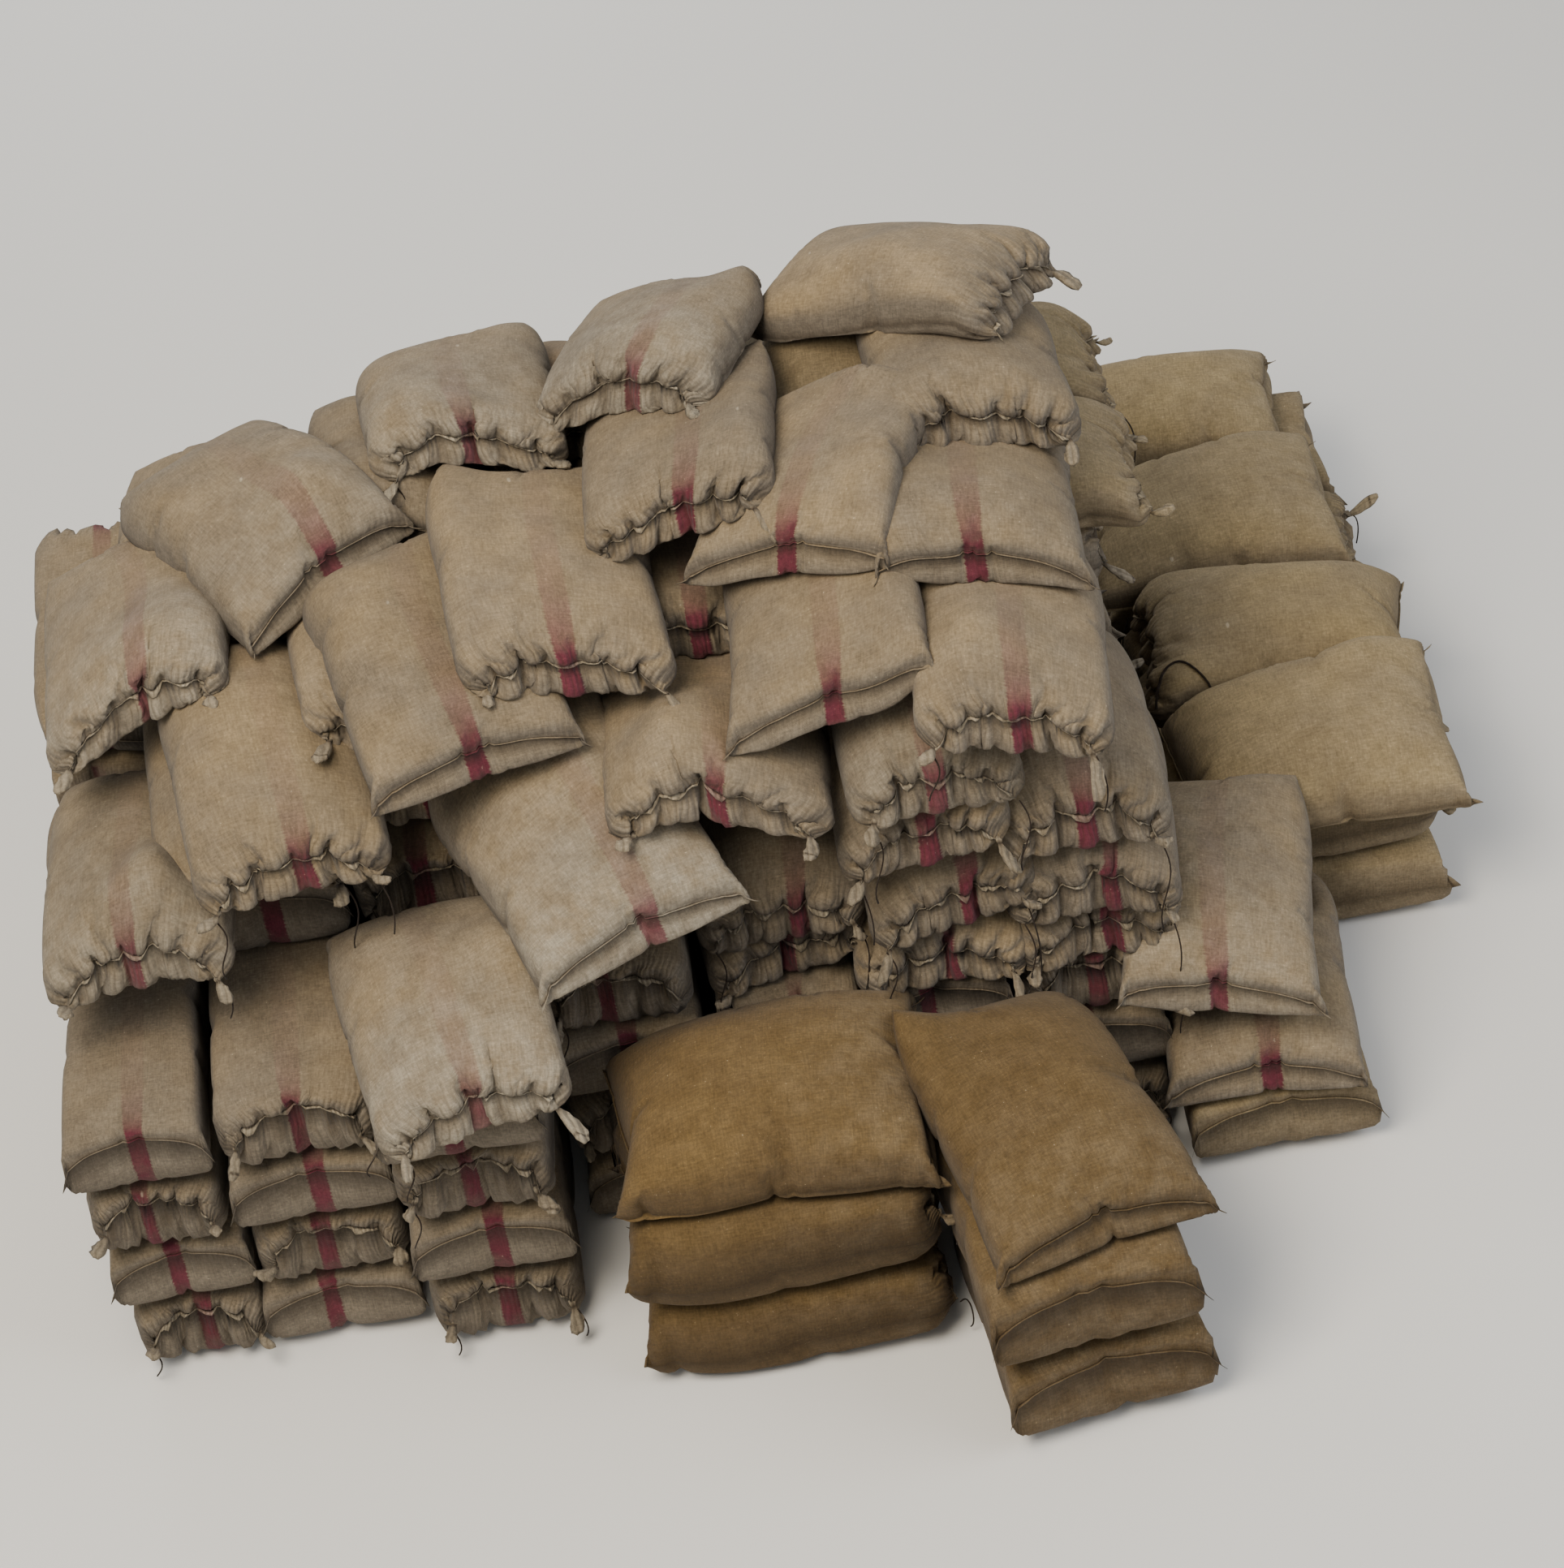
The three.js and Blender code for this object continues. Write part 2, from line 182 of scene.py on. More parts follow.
# The cloth of the sack, under pressure from inside and without gravity.
def addFilling(holder, settings):
    modifier = holder.modifiers.new("fill", "CLOTH")
    modifier.point_cache.frame_start = 1
    modifier.point_cache.frame_end = settings["frames"]
    for key, value in settings["cloth"].items():
        setattr(modifier.settings, key, value)
    modifier.settings.effector_weights.gravity = 0.0
    return modifier.settings


# Shrinks the cloth at the front rim, by a weight that falls evenly to nothing at the gathering's depth.
def addGathering(holder, cloth, sheets, y, settings):
    group = holder.vertex_groups.new(name="mouth")
    reach = np.clip(1 - (y + sheetSettings["length"] / 2) / settings["gatherDepth"], 0, 1)
    for grid in sheets:
        for index, weight in zip(grid.ravel().tolist(), reach.ravel().tolist()):
            if weight > 0:
                group.add([index], weight, "REPLACE")
    cloth.vertex_group_shrink = "mouth"
    cloth.shrink_min = 0.0
    cloth.shrink_max = settings["gatherShrink"]


# The filled sack as two grids of points, the upper and the lower face, about its middle.
def filledSack(name, gather, seed, settings):
    points, faces, upper, lower, y = flatSheets(np.random.default_rng(seed))
    holder = bpy.data.objects.new(name, meshFrom(name, points, faces))
    scene = bpy.context.scene
    scene.collection.objects.link(holder)
    cloth = addFilling(holder, settings)
    if gather:
        addGathering(holder, cloth, (upper, lower), y, settings)
    for step in range(1, settings["frames"] + 1):
        scene.frame_set(step)
    done = holder.evaluated_get(bpy.context.evaluated_depsgraph_get()).to_mesh()
    moved = np.empty(len(done.vertices) * 3)
    done.vertices.foreach_get("co", moved)
    moved = moved.reshape(-1, 3)
    bpy.data.objects.remove(holder)
    scene.frame_set(1)
    result = np.stack([moved[upper], moved[lower]])
    result -= (result.reshape(-1, 3).max(0) + result.reshape(-1, 3).min(0)) / 2
    print("  filled", name, "size", np.round(np.ptp(result.reshape(-1, 3), axis=0), 3))
    return result


patterns = {"sewn": [], "gathered": []}
for mouth, seed in (("sewn", 3), ("sewn", 8), ("gathered", 4), ("gathered", 6)):
    shape = filledSack(mouth, mouth == "gathered", seed, fillSettings)
    turned = shape[::-1] * np.array([1, 1, -1])  # the same sack lying on its other face
    for variant in (shape, turned):
        patterns[mouth].append(variant)
        patterns[mouth].append(variant[:, :, ::-1] * np.array([-1, 1, 1]))  # and its mirror image
print("stage 3: cloth patterns filled")


# Materials. Colours are given as sRGB hex values.
def linear(hexColour, alpha=1.0):
    channels = [int(hexColour[i : i + 2], 16) / 255 for i in (0, 2, 4)]
    return tuple(c / 12.92 if c <= 0.04045 else ((c + 0.055) / 1.055) ** 2.4 for c in channels) + (alpha,)


# Adds one node, sets its values and links its inputs. A tuple (node, output) as a value is a link.
def addNode(tree, kind, values=None, **settings):
    node = tree.nodes.new(kind)
    for key, value in settings.items():
        setattr(node, key, value)
    for key, value in (values or {}).items():
        if isinstance(value, tuple) and len(value) == 2 and isinstance(value[0], bpy.types.Node):
            tree.links.new(value[0].outputs[value[1]], node.inputs[key])
        else:
            node.inputs[key].default_value = value
    return node


# Short forms of the nodes used most. Each gives (node, output), ready to be linked.
def mathOf(tree, operation, *inputs, clamp=False):
    values = dict(enumerate(inputs))
    return addNode(tree, "ShaderNodeMath", values, operation=operation, use_clamp=clamp), "Value"


# From one range of values to another in a straight line, held at both ends.
def rampOf(tree, value, low, high, atLow, atHigh, **settings):
    values = {"Value": value, "From Min": low, "From Max": high, "To Min": atLow, "To Max": atHigh}
    return addNode(tree, "ShaderNodeMapRange", values, **settings), "Result"


def mixOf(tree, factor, first, second):
    values = {"Factor": factor, "A": first, "B": second}
    return addNode(tree, "ShaderNodeMix", values, data_type="RGBA"), 2


def noiseOf(tree, vector, scale, detail, roughness=0.5, **settings):
    values = {"Vector": vector, "Scale": scale, "Detail": detail, "Roughness": roughness}
    return addNode(tree, "ShaderNodeTexNoise", values, **settings), "Fac"


def stretched(tree, vector, scale):
    return addNode(tree, "ShaderNodeMapping", {"Vector": vector, "Scale": scale}), "Vector"


# Bands so many metres apart. At scale 1 they repeat every 2 pi / 20.
def bandsOf(tree, vector, spacing, direction, waver=None):
    values = {"Vector": vector, "Scale": 2 * math.pi / 20 / spacing, **(waver or {})}
    return addNode(tree, "ShaderNodeTexWave", values, bands_direction=direction), "Fac"


# Jute sacking: a coarse plain weave with slubs, matt, stained, with one crimson stripe woven along the sack.
# It is pale and tan on top, partly bleached and partly a painted lit top, greyer below as painted shade, and
# darker in the folds as painted shade.
juteSettings = {
    "weathered_jute": {"pale": "897658", "base": "6d6355", "dirtAndShade": "33281b", "flecks": 0.42},
    "dusty_jute": {"pale": "94805a", "base": "7c6c52", "dirtAndShade": "372b1c", "flecks": 0.35},
    "fresh_jute": {"pale": "675230", "base": "584529", "dirtAndShade": "2b1f0e", "flecks": 0.0},
    "hidden_jute": {"pale": "857357", "base": "6d6355", "dirtAndShade": "33281b", "flecks": 0.3},
}
clothSettings = {
    "thread": 0.0026,  # metres from thread to thread
    "slubs": (200, 22),  # slubs to the metre across a thread and along it
    "stains": 3.2,  # stains to the metre
    "patches": 14.0,
    "grain": 120.0,
    "crumple": 15.0,
    "fleckCells": (5.5, 2.8, 4.4),  # cells to the metre that hold one fleck each
    "stripeHalf": 0.036,
    "stripe": "5c1e2e",
    "paleSpecks": "cfc3a8",
    "dust": "8f8675",
    "twine": "2b2118",
    "stitch": 0.014,  # metres from stitch to stitch
    "pleat": 0.024,  # metres from pleat to pleat beside a seam
}


# Coordinates, the sack's own wear, and the textures that colour and relief share.
def clothTextures(tree):
    cloth = (addNode(tree, "ShaderNodeUVMap", uv_map="cloth"), "UV")
    place = (addNode(tree, "ShaderNodeTexCoord"), "Object")
    thread, (fine, coarse) = clothSettings["thread"], clothSettings["slubs"]
    threadWaver = {"Distortion": 1.4, "Detail": 1.0, "Detail Scale": 0.35}
    pleatWaver = {"Distortion": 9.0, "Detail": 2.0, "Detail Scale": 0.6}
    warp = bandsOf(tree, cloth, thread, "X", threadWaver)
    weft = bandsOf(tree, cloth, thread, "Y", threadWaver)
    slubs = noiseOf(tree, stretched(tree, cloth, (fine, coarse, 1)), 1.0, 2.0)
    crossSlubs = noiseOf(tree, stretched(tree, cloth, (coarse, fine, 1)), 1.0, 2.0)
    textures = {
        "cloth": cloth,
        "place": place,
        "weave": mathOf(tree, "ADD", warp, weft),
        "crossSlubs": crossSlubs,
        "slub": mathOf(tree, "ADD", slubs, crossSlubs),
        "stains": noiseOf(tree, place, clothSettings["stains"], 5.0, 0.62),
        "patches": noiseOf(tree, place, clothSettings["patches"], 4.0, 0.6),
        "grain": noiseOf(tree, place, clothSettings["grain"], 3.0, 0.7),
        "creases": bandsOf(tree, cloth, clothSettings["pleat"], "X", pleatWaver),
    }
    for label in ("bleachAndLitTop", "fold", "tone", "dye", "hemmed", "pleats", "cord", "dusted"):
        textures[label] = (addNode(tree, "ShaderNodeAttribute", attribute_name=label), "Fac")
    return textures


# The sun's bleaching together with a painted lit top, broken up by stains, over a greyer base that is painted
# shade on the sides and below, and the stripe: a band along the middle thread, worn in patches and as strong
# as its dye. Gives the colour and how far it is dyed.
def wovenColour(tree, textures, colours):
    sun = rampOf(tree, textures["stains"], 0.35, 0.68, 0.35, 1.1)
    amount = mathOf(tree, "MULTIPLY", textures["bleachAndLitTop"], sun, clamp=True)
    # Greyer base where the faces look sideways or down, as painted shade; pale lit top where they look up.
    ground = mixOf(tree, amount, linear(colours["base"]), linear(colours["pale"]))
    across = (addNode(tree, "ShaderNodeSeparateXYZ", {"Vector": textures["cloth"]}), "X")
    ragged = rampOf(tree, textures["crossSlubs"], 0.3, 0.7, -0.004, 0.004)
    edge = mathOf(tree, "ADD", mathOf(tree, "ABSOLUTE", across), ragged)
    half = clothSettings["stripeHalf"]
    band = rampOf(tree, edge, half - 0.005, half + 0.004, 1.0, 0.0, interpolation_type="SMOOTHSTEP")
    worn = rampOf(tree, textures["patches"], 0.32, 0.68, 1.0, 0.62)
    strength = mathOf(tree, "MULTIPLY", textures["dye"], worn)
    dyed = mathOf(tree, "MULTIPLY", band, strength, clamp=True)
    return mixOf(tree, dyed, ground, linear(clothSettings["stripe"])), dyed


# Grey grain dust in clouds, thinner on the stripe, then stains, pale specks and flecks, and pale hems.
def soiledColour(tree, textures, colours, woven, dyed):
    pale = linear(clothSettings["paleSpecks"])
    clouds = rampOf(tree, textures["patches"], 0.35, 0.62, 1.0, 0.35)
    besideStripe = mathOf(tree, "MULTIPLY_ADD", dyed, -0.7, 1.0)
    cover = mathOf(tree, "MULTIPLY", textures["dusted"], clouds)
    dustAmount = mathOf(tree, "MULTIPLY", cover, besideStripe, clamp=True)
    dusty = mixOf(tree, dustAmount, woven, linear(clothSettings["dust"]))
    stain = rampOf(tree, textures["patches"], 0.35, 0.72, 0.0, 0.24)
    stained = mixOf(tree, stain, dusty, linear(colours["dirtAndShade"]))
    speck = rampOf(tree, textures["grain"], 0.7, 0.76, 0.0, 0.5)
    fleckSpace = stretched(tree, textures["place"], clothSettings["fleckCells"])
    scatter = (addNode(tree, "ShaderNodeTexVoronoi", {"Vector": fleckSpace, "Scale": 1.0}), "Distance")
    fleckEdge = mathOf(tree, "MULTIPLY_ADD", textures["grain"], 0.06, scatter)
    fleck = rampOf(tree, fleckEdge, 0.05, 0.068, colours["flecks"], 0.0)
    specked = mixOf(tree, mathOf(tree, "MAXIMUM", speck, fleck), stained, pale)
    return mixOf(tree, mathOf(tree, "MULTIPLY", textures["hemmed"], 0.35), specked, pale)


# Painted shade in the dirt colour: in hollows, in the pinches of a gathered mouth and between pleats. Then
# dark
# twine: in stitches along the seam, and all over loose twine.
def sewnColour(tree, textures, colours, soiled):
    valley = rampOf(tree, textures["creases"], 0.03, 0.3, 0.5, 0.0)
    betweenPleats = mathOf(tree, "MULTIPLY", valley, textures["pleats"])
    anyFold = mathOf(tree, "MAXIMUM", betweenPleats, textures["fold"], clamp=True)
    folded = mixOf(tree, anyFold, soiled, linear(colours["dirtAndShade"]))
    along = (addNode(tree, "ShaderNodeSeparateXYZ", {"Vector": textures["cloth"]}), "Y")
    seam = sheetSettings["length"] / 2 + 0.002
    fromSeam = mathOf(tree, "SUBTRACT", mathOf(tree, "ABSOLUTE", along), seam)
    seamLine = rampOf(tree, mathOf(tree, "ABSOLUTE", fromSeam), 0.0015, 0.006, 0.75, 0.0)
    stitches = bandsOf(tree, textures["cloth"], clothSettings["stitch"], "X")
    stitched = mathOf(tree, "MULTIPLY", seamLine, rampOf(tree, stitches, 0.1, 0.5, 0.6, 1.0))
    anyTwine = mathOf(tree, "MAXIMUM", stitched, textures["cord"])
    return mixOf(tree, anyTwine, folded, linear(clothSettings["twine"]))


# Brightness: darker in the gaps between threads, uneven by slubs and grain, times the sack's own tone, which
# also holds the painted shade of the sacks in the shade under the corner.
def tonedColour(tree, textures, sewn):
    gaps = rampOf(tree, textures["weave"], 0.2, 1.3, 0.74, 1.06)
    slubTone = rampOf(tree, textures["slub"], 0.6, 1.4, 0.76, 1.24)
    grainTone = rampOf(tree, textures["grain"], 0.3, 0.7, 0.8, 1.2)
    brightness = mathOf(tree, "MULTIPLY", gaps, slubTone)
    for tone in (grainTone, textures["tone"]):
        brightness = mathOf(tree, "MULTIPLY", brightness, tone)
    return addNode(tree, "ShaderNodeVectorMath", {0: sewn, "Scale": brightness}, operation="SCALE"), "Vector"


# Relief: pleats that run off from the seams and crumpled cloth among them, over them the threads.
def clothRelief(tree, textures):
    scale = clothSettings["crumple"]
    crumple = noiseOf(tree, textures["place"], scale, 2.0, noise_type="RIDGED_MULTIFRACTAL")
    creased = mathOf(tree, "MULTIPLY_ADD", crumple, 1.4, textures["creases"])
    pleated = mathOf(tree, "MULTIPLY", creased, textures["pleats"])
    pleatBump = addNode(tree, "ShaderNodeBump", {"Height": pleated, "Strength": 0.7, "Distance": 0.006})
    threads = mathOf(tree, "ADD", textures["weave"], textures["slub"])
    values = {"Height": threads, "Strength": 0.35, "Distance": 0.0012, "Normal": (pleatBump, "Normal")}
    return addNode(tree, "ShaderNodeBump", values), "Normal"


def juteMaterial(name, colours):
    material = bpy.data.materials.new(name)
    material.use_nodes = True
    tree = material.node_tree
    tree.nodes.clear()
    textures = clothTextures(tree)
    woven, dyed = wovenColour(tree, textures, colours)
    sewn = sewnColour(tree, textures, colours, soiledColour(tree, textures, colours, woven, dyed))
    surface = addNode(tree, "ShaderNodeBsdfPrincipled", {
        "Base Color": tonedColour(tree, textures, sewn),
        "Normal": clothRelief(tree, textures),
        "Roughness": 0.95,
        "Specular IOR Level": 0.12,
        "Sheen Weight": 0.05,
        "Sheen Roughness": 0.6,
    })
    addNode(tree, "ShaderNodeOutputMaterial", {"Surface": (surface, "BSDF")})
    return material


jute = {name: juteMaterial(name, colours) for name, colours in juteSettings.items()}
print("stage 4: jute materials made")


# How a sack is laid in the space of its solid.
laying = {
    "reach": 0.03,  # metres past the outline over which the surfaces are known
    "midRounds": 14,  # smoothing of the sack's middle surface
    "bedRounds": 3,  # smoothing of the surface that it rests on
    "hem": 0.0016,  # half the thickness of the sewn cloth
    "roundness": 1.6,  # above 1 the faces keep their height further out
    "fullness": 0.6,  # below 1 the faces rise more steeply from the rim
    "dome": 0.24,  # share of the height that rises evenly from the edges to the middle
    "backRound": (0.16, 0.32),  # share of the width by which the back corners are drawn in
    "backStart": 0.35,  # where that starts, from the middle to the back end
    "middle": 0.12,  # share of the width that the full middle of a sack adds
    "creaseAside": 0.22,  # share of the width by which the crease in a back end may lie aside
    "plump": 1.035,  # width over the solid's, so that neighbours press together
    "softness": 0.014,  # metres of rounding where the lower face meets what it rests on
    "pressed": 1.6,  # above 0 a sack of a lower layer is flatter on top and below
    "clearance": 0.002,  # metres between a face and what it rests on
    "seamRise": 0.17,  # how far, in thicknesses, the front seam lies above the middle surface
    "seamFall": 0.19,  # how much lower, in thicknesses, its two ears lie
    "sideDrop": 0.1,  # how far, in thicknesses, the sides' rims lie under the middle surface
    "belly": 0.042,  # metres that the lower face stands out under the front seam
    "upperBelly": 0.3,  # the same for the upper face, as a share of it
    "lumps": 0.005,  # metres of the grain's dents
    "lobes": 0.034,  # metres between the bulges and the pinches of a gathered mouth
    "lobeCount": (2.7, 3.5),  # bulges on each side of the middle
    "lobeReach": 0.055,  # metres of cloth over which they fade
    "cinch": 0.02,  # metres that a stitch pulls the gathered rim in
    "flangeSteps": (0.35, 1.0),  # rows of cloth past a seam, as shares of its reach
    "flange": 0.006,  # metres of cloth past a sewn seam
    "frontEar": 0.02,  # metres that its corners add in front
    "backEar": 0.004,  # the same at the back
    "ruffle": 0.02,  # metres of loose cloth past a gathered seam
    "flangeCloth": 0.02,  # metres of the sheet that lie past a seam
    "floor": 0.001,  # metres above the floor of the lowest cloth
}

# The solids' own rows and columns, at which their thickness was set.
acrossSteps = np.array([-1, -0.84, -0.42, 0.42, 0.84, 1])
alongSteps = np.array([-1, -0.88, -0.55, 0, 0.55, 0.88, 1])


# Share of the half thickness at u across and v along: a power curve that falls to nothing at the rim.
def crownShare(u, v):
    sides = np.sqrt(np.clip(1 - np.abs(u) ** 2.8, 0, 1))
    return sides * np.sqrt(np.clip(1 - np.abs(v) ** 3.2, 0, 1))


# Value of a grid at places given in grid steps, by straight lines between the four nearest.
def sampled(grid, row, column):
    row = np.clip(row, 0, grid.shape[0] - 1.001)
    column = np.clip(column, 0, grid.shape[1] - 1.001)
    i, j = row.astype(int), column.astype(int)
    a, b = row - i, column - j
    low = grid[i, j] * (1 - b) + grid[i, j + 1] * b
    return low * (1 - a) + (grid[i + 1, j] * (1 - b) + grid[i + 1, j + 1] * b) * a


# Fills unknown grid values from known neighbours, one ring at a time.
def spread(values, known):
    values, known = np.where(known, values, 0.0), known.copy()
    while not known.all():
        total = neighbourSum(np.pad(values * known, 1))
        count = neighbourSum(np.pad(known.astype(float), 1))
        fresh = ~known & (count > 0)
        values[fresh] = (total / np.maximum(count, 1))[fresh]
        known |= fresh
    return values


# Places in the heap, from a sack's own across and along: turned about the vertical and moved.
def inHeap(across, along, spec):
    x, y, turn = spec[:3]
    cos, sin = math.cos(math.radians(turn)), math.sin(math.radians(turn))
    return x + across * cos - along * sin, y + across * sin + along * cos


# Heights of a solid's top and underside over a grid of places, by rays from above and below.
def surfacesOf(node, wx, wy):
    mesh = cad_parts[node].data
    corners = [tuple(v.co) for v in mesh.vertices]
    tree = BVHTree.FromPolygons(corners, [tuple(p.vertices) for p in mesh.polygons])
    top, under = np.full(wx.shape, np.nan), np.full(wx.shape, np.nan)
    for index in np.ndindex(wx.shape):
        high = tree.ray_cast(Vector((wx[index], wy[index], 5)), Vector((0, 0, -1)))[0]
        if high is not None:
            low = tree.ray_cast(Vector((wx[index], wy[index], -1)), Vector((0, 0, 1)))[0]
            top[index], under[index] = high.z, low.z
    return top, under


# The middle surface of a solid and the surface that it rests on, over a grid of the sack's own outline.
# The four rounds undo the outline's taper and its hollow sides, with which the solid was made.
def bedOf(node, spec):
    width, length, thick, mouth = spec[3:]
    across = np.linspace(-1, 1, 31) * (width / 2 + laying["reach"])
    along = np.linspace(-1, 1, 43) * (length / 2 + laying["reach"])
    lx, ly = np.meshgrid(across, along)
    top, under = surfacesOf(node, *inHeap(lx, ly, spec))
    u, v = lx / (width / 2), ly / (length / 2)
    for _ in range(4):
        front = np.clip(-v, 0, 1)
        taper = 1 - 0.2 * front ** 2 if mouth == "gathered" else 1
        u = lx / (width / 2) / taper / (1 - 0.1 * (1 - np.clip(v, -1, 1) ** 2))
        v = ly / (length / 2) / (1 - 0.06 * (1 - np.clip(u, -1, 1) ** 2))
    inside = (np.abs(u) < 0.98) & (np.abs(v) < 0.98) & ~np.isnan(top)
    column = np.interp(u, acrossSteps, np.arange(len(acrossSteps)))
    row = np.interp(v, alongSteps, np.arange(len(alongSteps)))
    lattice = crownShare(acrossSteps[None, :], alongSteps[:, None])
    middle = top - sampled(lattice, row, column) * thick / 2
    middle = smoothed(spread(np.where(inside, middle, 0), inside), laying["midRounds"])
    known = ~np.isnan(under)
    bed = smoothed(spread(np.where(known, under, 0), known), laying["bedRounds"])
    return middle, bed


# Upper and lower face as rings: each row runs over the top from left to right and back below.
def ringed(faces):
    return np.concatenate([faces[0], faces[1][:, ::-1]], 1)


# Faces of a closed body of such rings. Strips close its first and its last ring.
def ringFaces(rows, columns):
    ring = 2 * columns
    index = np.arange(rows * ring).reshape(rows, ring)
    nextIndex = np.roll(index, -1, axis=1)
    sides = np.stack([index[:-1], nextIndex[:-1], nextIndex[1:], index[1:]], -1).reshape(-1, 4)
    caps = []
    for row, flip in ((0, False), (rows - 1, True)):
        top, under = index[row, :columns], index[row, :columns - 1 : -1]
        strip = np.stack([top[1:], top[:-1], under[:-1], under[1:]], -1)
        caps.append(strip[:, ::-1] if flip else strip)
    return np.vstack([sides, *caps])


# Distances over the cloth from the middle of a row of steps, where each step is its mean length on the sack
# and at least its length in the flat sheet.
def clothSteps(found, positions, extent):
    steps = np.maximum(found, np.diff(positions) * extent / 2)
    reached = np.concatenate([[0], np.cumsum(steps)])
    return reached - np.interp(0, positions, reached)


# The place in the sheet of each point of one face. Its ends lie at the sheet's ends, where the seams are.
def clothGrid(face, u, v):
    across = np.linalg.norm(np.diff(face, axis=1), axis=-1).mean(0)
    along = np.linalg.norm(np.diff(face, axis=0), axis=-1).mean(1)
    x = clothSteps(across, u, sheetSettings["width"])
    y = clothSteps(along, v, sheetSettings["length"])
    y *= sheetSettings["length"] / 2 / np.where(v < 0, -y[0], y[-1])
    return np.stack(np.meshgrid(x, y), -1)


# Upward normals of a grid of points, from its two edge directions.
def gridNormals(points):
    normal = np.cross(np.gradient(points, axis=1), np.gradient(points, axis=0))
    return normal / (np.linalg.norm(normal, axis=-1, keepdims=True) + 1e-12)


# Outward normals of both faces.
def faceNormals(faces):
    return np.stack([gridNormals(faces[0]), -gridNormals(faces[1])])


# One sack as an object, with its places in the cloth and its wear. It takes its solids' place in the frame.
def writePiece(name, points, faces, cloth, layers, material, nodes):
    mesh = meshFrom(name, points, faces)
    mesh.polygons.foreach_set("use_smooth", np.ones(len(mesh.polygons), bool))
    corners = np.empty(len(mesh.loops), np.int32)
    mesh.loops.foreach_get("vertex_index", corners)
    uv = mesh.uv_layers.new(name="cloth")
    uv.data.foreach_set("uv", cloth[corners].astype(np.float32).ravel())
    for label, values in layers.items():
        layer = mesh.attributes.new(label, "FLOAT", "POINT")
        layer.data.foreach_set("value", values.astype(np.float32))
    mesh.materials.append(material)
    piece = bpy.data.objects.new(name, mesh)
    bpy.context.scene.collection.objects.link(piece)
    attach(piece, "root")
    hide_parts(*nodes)


# A closed tube along a path, as quads: each row of radii is one ring, and strips of quads close both ends.
def tube(path, radii):
    sides = radii.shape[1]
    ahead = np.gradient(path, axis=0)
    ahead /= np.linalg.norm(ahead, axis=1, keepdims=True)
    aside = np.cross(ahead, (0.3, 0.2, 0.93))
    aside /= np.linalg.norm(aside, axis=1, keepdims=True)
    over = np.cross(aside, ahead)
    angle = np.arange(sides) * 2 * np.pi / sides
    ring = aside[:, None] * np.cos(angle)[None, :, None] + over[:, None] * np.sin(angle)[None, :, None]
    points = path[:, None] + ring * radii[..., None]
    index = np.arange(points.shape[0] * sides).reshape(-1, sides)
    nextIndex = np.roll(index, -1, axis=1)
    walls = np.stack([index[:-1], index[1:], nextIndex[1:], nextIndex[:-1]], -1).reshape(-1, 4)
    strips = np.array([[k, k + 1, sides - 2 - k, sides - 1 - k] for k in range(sides // 2 - 1)])
    return points.reshape(-1, 3), np.vstack([walls, index[0][strips], index[-1][strips[:, ::-1]]])


# What hangs from a tied mouth: tufts of cloth, crumpled and tied at their necks, and loose twine. Each piece
# of trim is its points, its faces and, for each point, how far it is twine.
trimSettings = {
    "tuftChance": 0.85,
    "tuftReach": (0.05, 0.085),
    "tuft": (0.009, 0.011, 0.008, 0.011, 0.016, 0.019, 0.021, 0.021, 0.019, 0.011),  # radii from root to tip
    "tied": (0, 0, 0.85, 0.2, 0, 0, 0, 0, 0, 0),  # how dark the twine makes each of those rings
    "tuftSides": 10,
    "twine": 0.0024,  # radius
    "twineSides": 6,
    "twineSteps": 15,
    "twineTails": {"column": (0.75, 0.18, 0.42), "other": (0.4, 0.1, 0.24)},  # chance, shortest and longest
    "overFloor": 0.02,  # metres above the floor at which a tail ends at the latest
    "away": 0.3,  # metres from which a tail looks for the sacks behind it
    "apart": 0.006,  # metres that it keeps in front of them
    "loop": 0.004,  # radius
    "loopSteps": 25,
}
laidTrees = []  # the sacks of the front columns, in front of which loose twine hangs


# A crumpled tuft: its path bends as t^2, and its radii swell by a cosine round the ring and by chance.
def tuft(root, outward, rng):
    rings, sides = len(trimSettings["tuft"]), trimSettings["tuftSides"]
    reach = rng.uniform(*trimSettings["tuftReach"])
    steps = np.linspace(-0.25, 1, rings)[:, None]
    way = np.array([outward * rng.uniform(0.1, 0.7), -1.0, rng.uniform(-0.7, 0.4)])
    path = root + steps * reach * way + steps ** 2 * reach * rng.uniform(-0.5, 0.5, 3)
    angle = np.arange(sides) * np.pi
    flutes = 1 + 0.34 * np.cos(angle * 0.6 + rng.uniform(0, 6)) + 0.22 * rng.uniform(-1, 1, (rings, sides))
    flat = 0.75 + 0.25 * np.cos(angle * 0.4)
    loose = 1 + (flutes - 1) * np.clip(steps * 2.5, 0, 1)
    radii = np.array(trimSettings["tuft"])[:, None] * loose * flat * rng.uniform(0.75, 1.1)
    return (*tube(path, radii), np.repeat(trimSettings["tied"], sides))


# How far the columns' sacks stand out past a place at this sack's front, by rays from further out.
def standingOut(point, spec):
    turn, away = math.radians(spec[2]), trimSettings["away"]
    outward = Vector((math.sin(turn), -math.cos(turn), 0))
    start = Vector((*inHeap(point[0], point[1], spec), point[2])) + outward * away
    hits = [tree.ray_cast(start, -outward, away)[3] for tree in laidTrees]
    reach = away + trimSettings["apart"]
    return max([reach - distance for distance in hits if distance is not None], default=0.0)


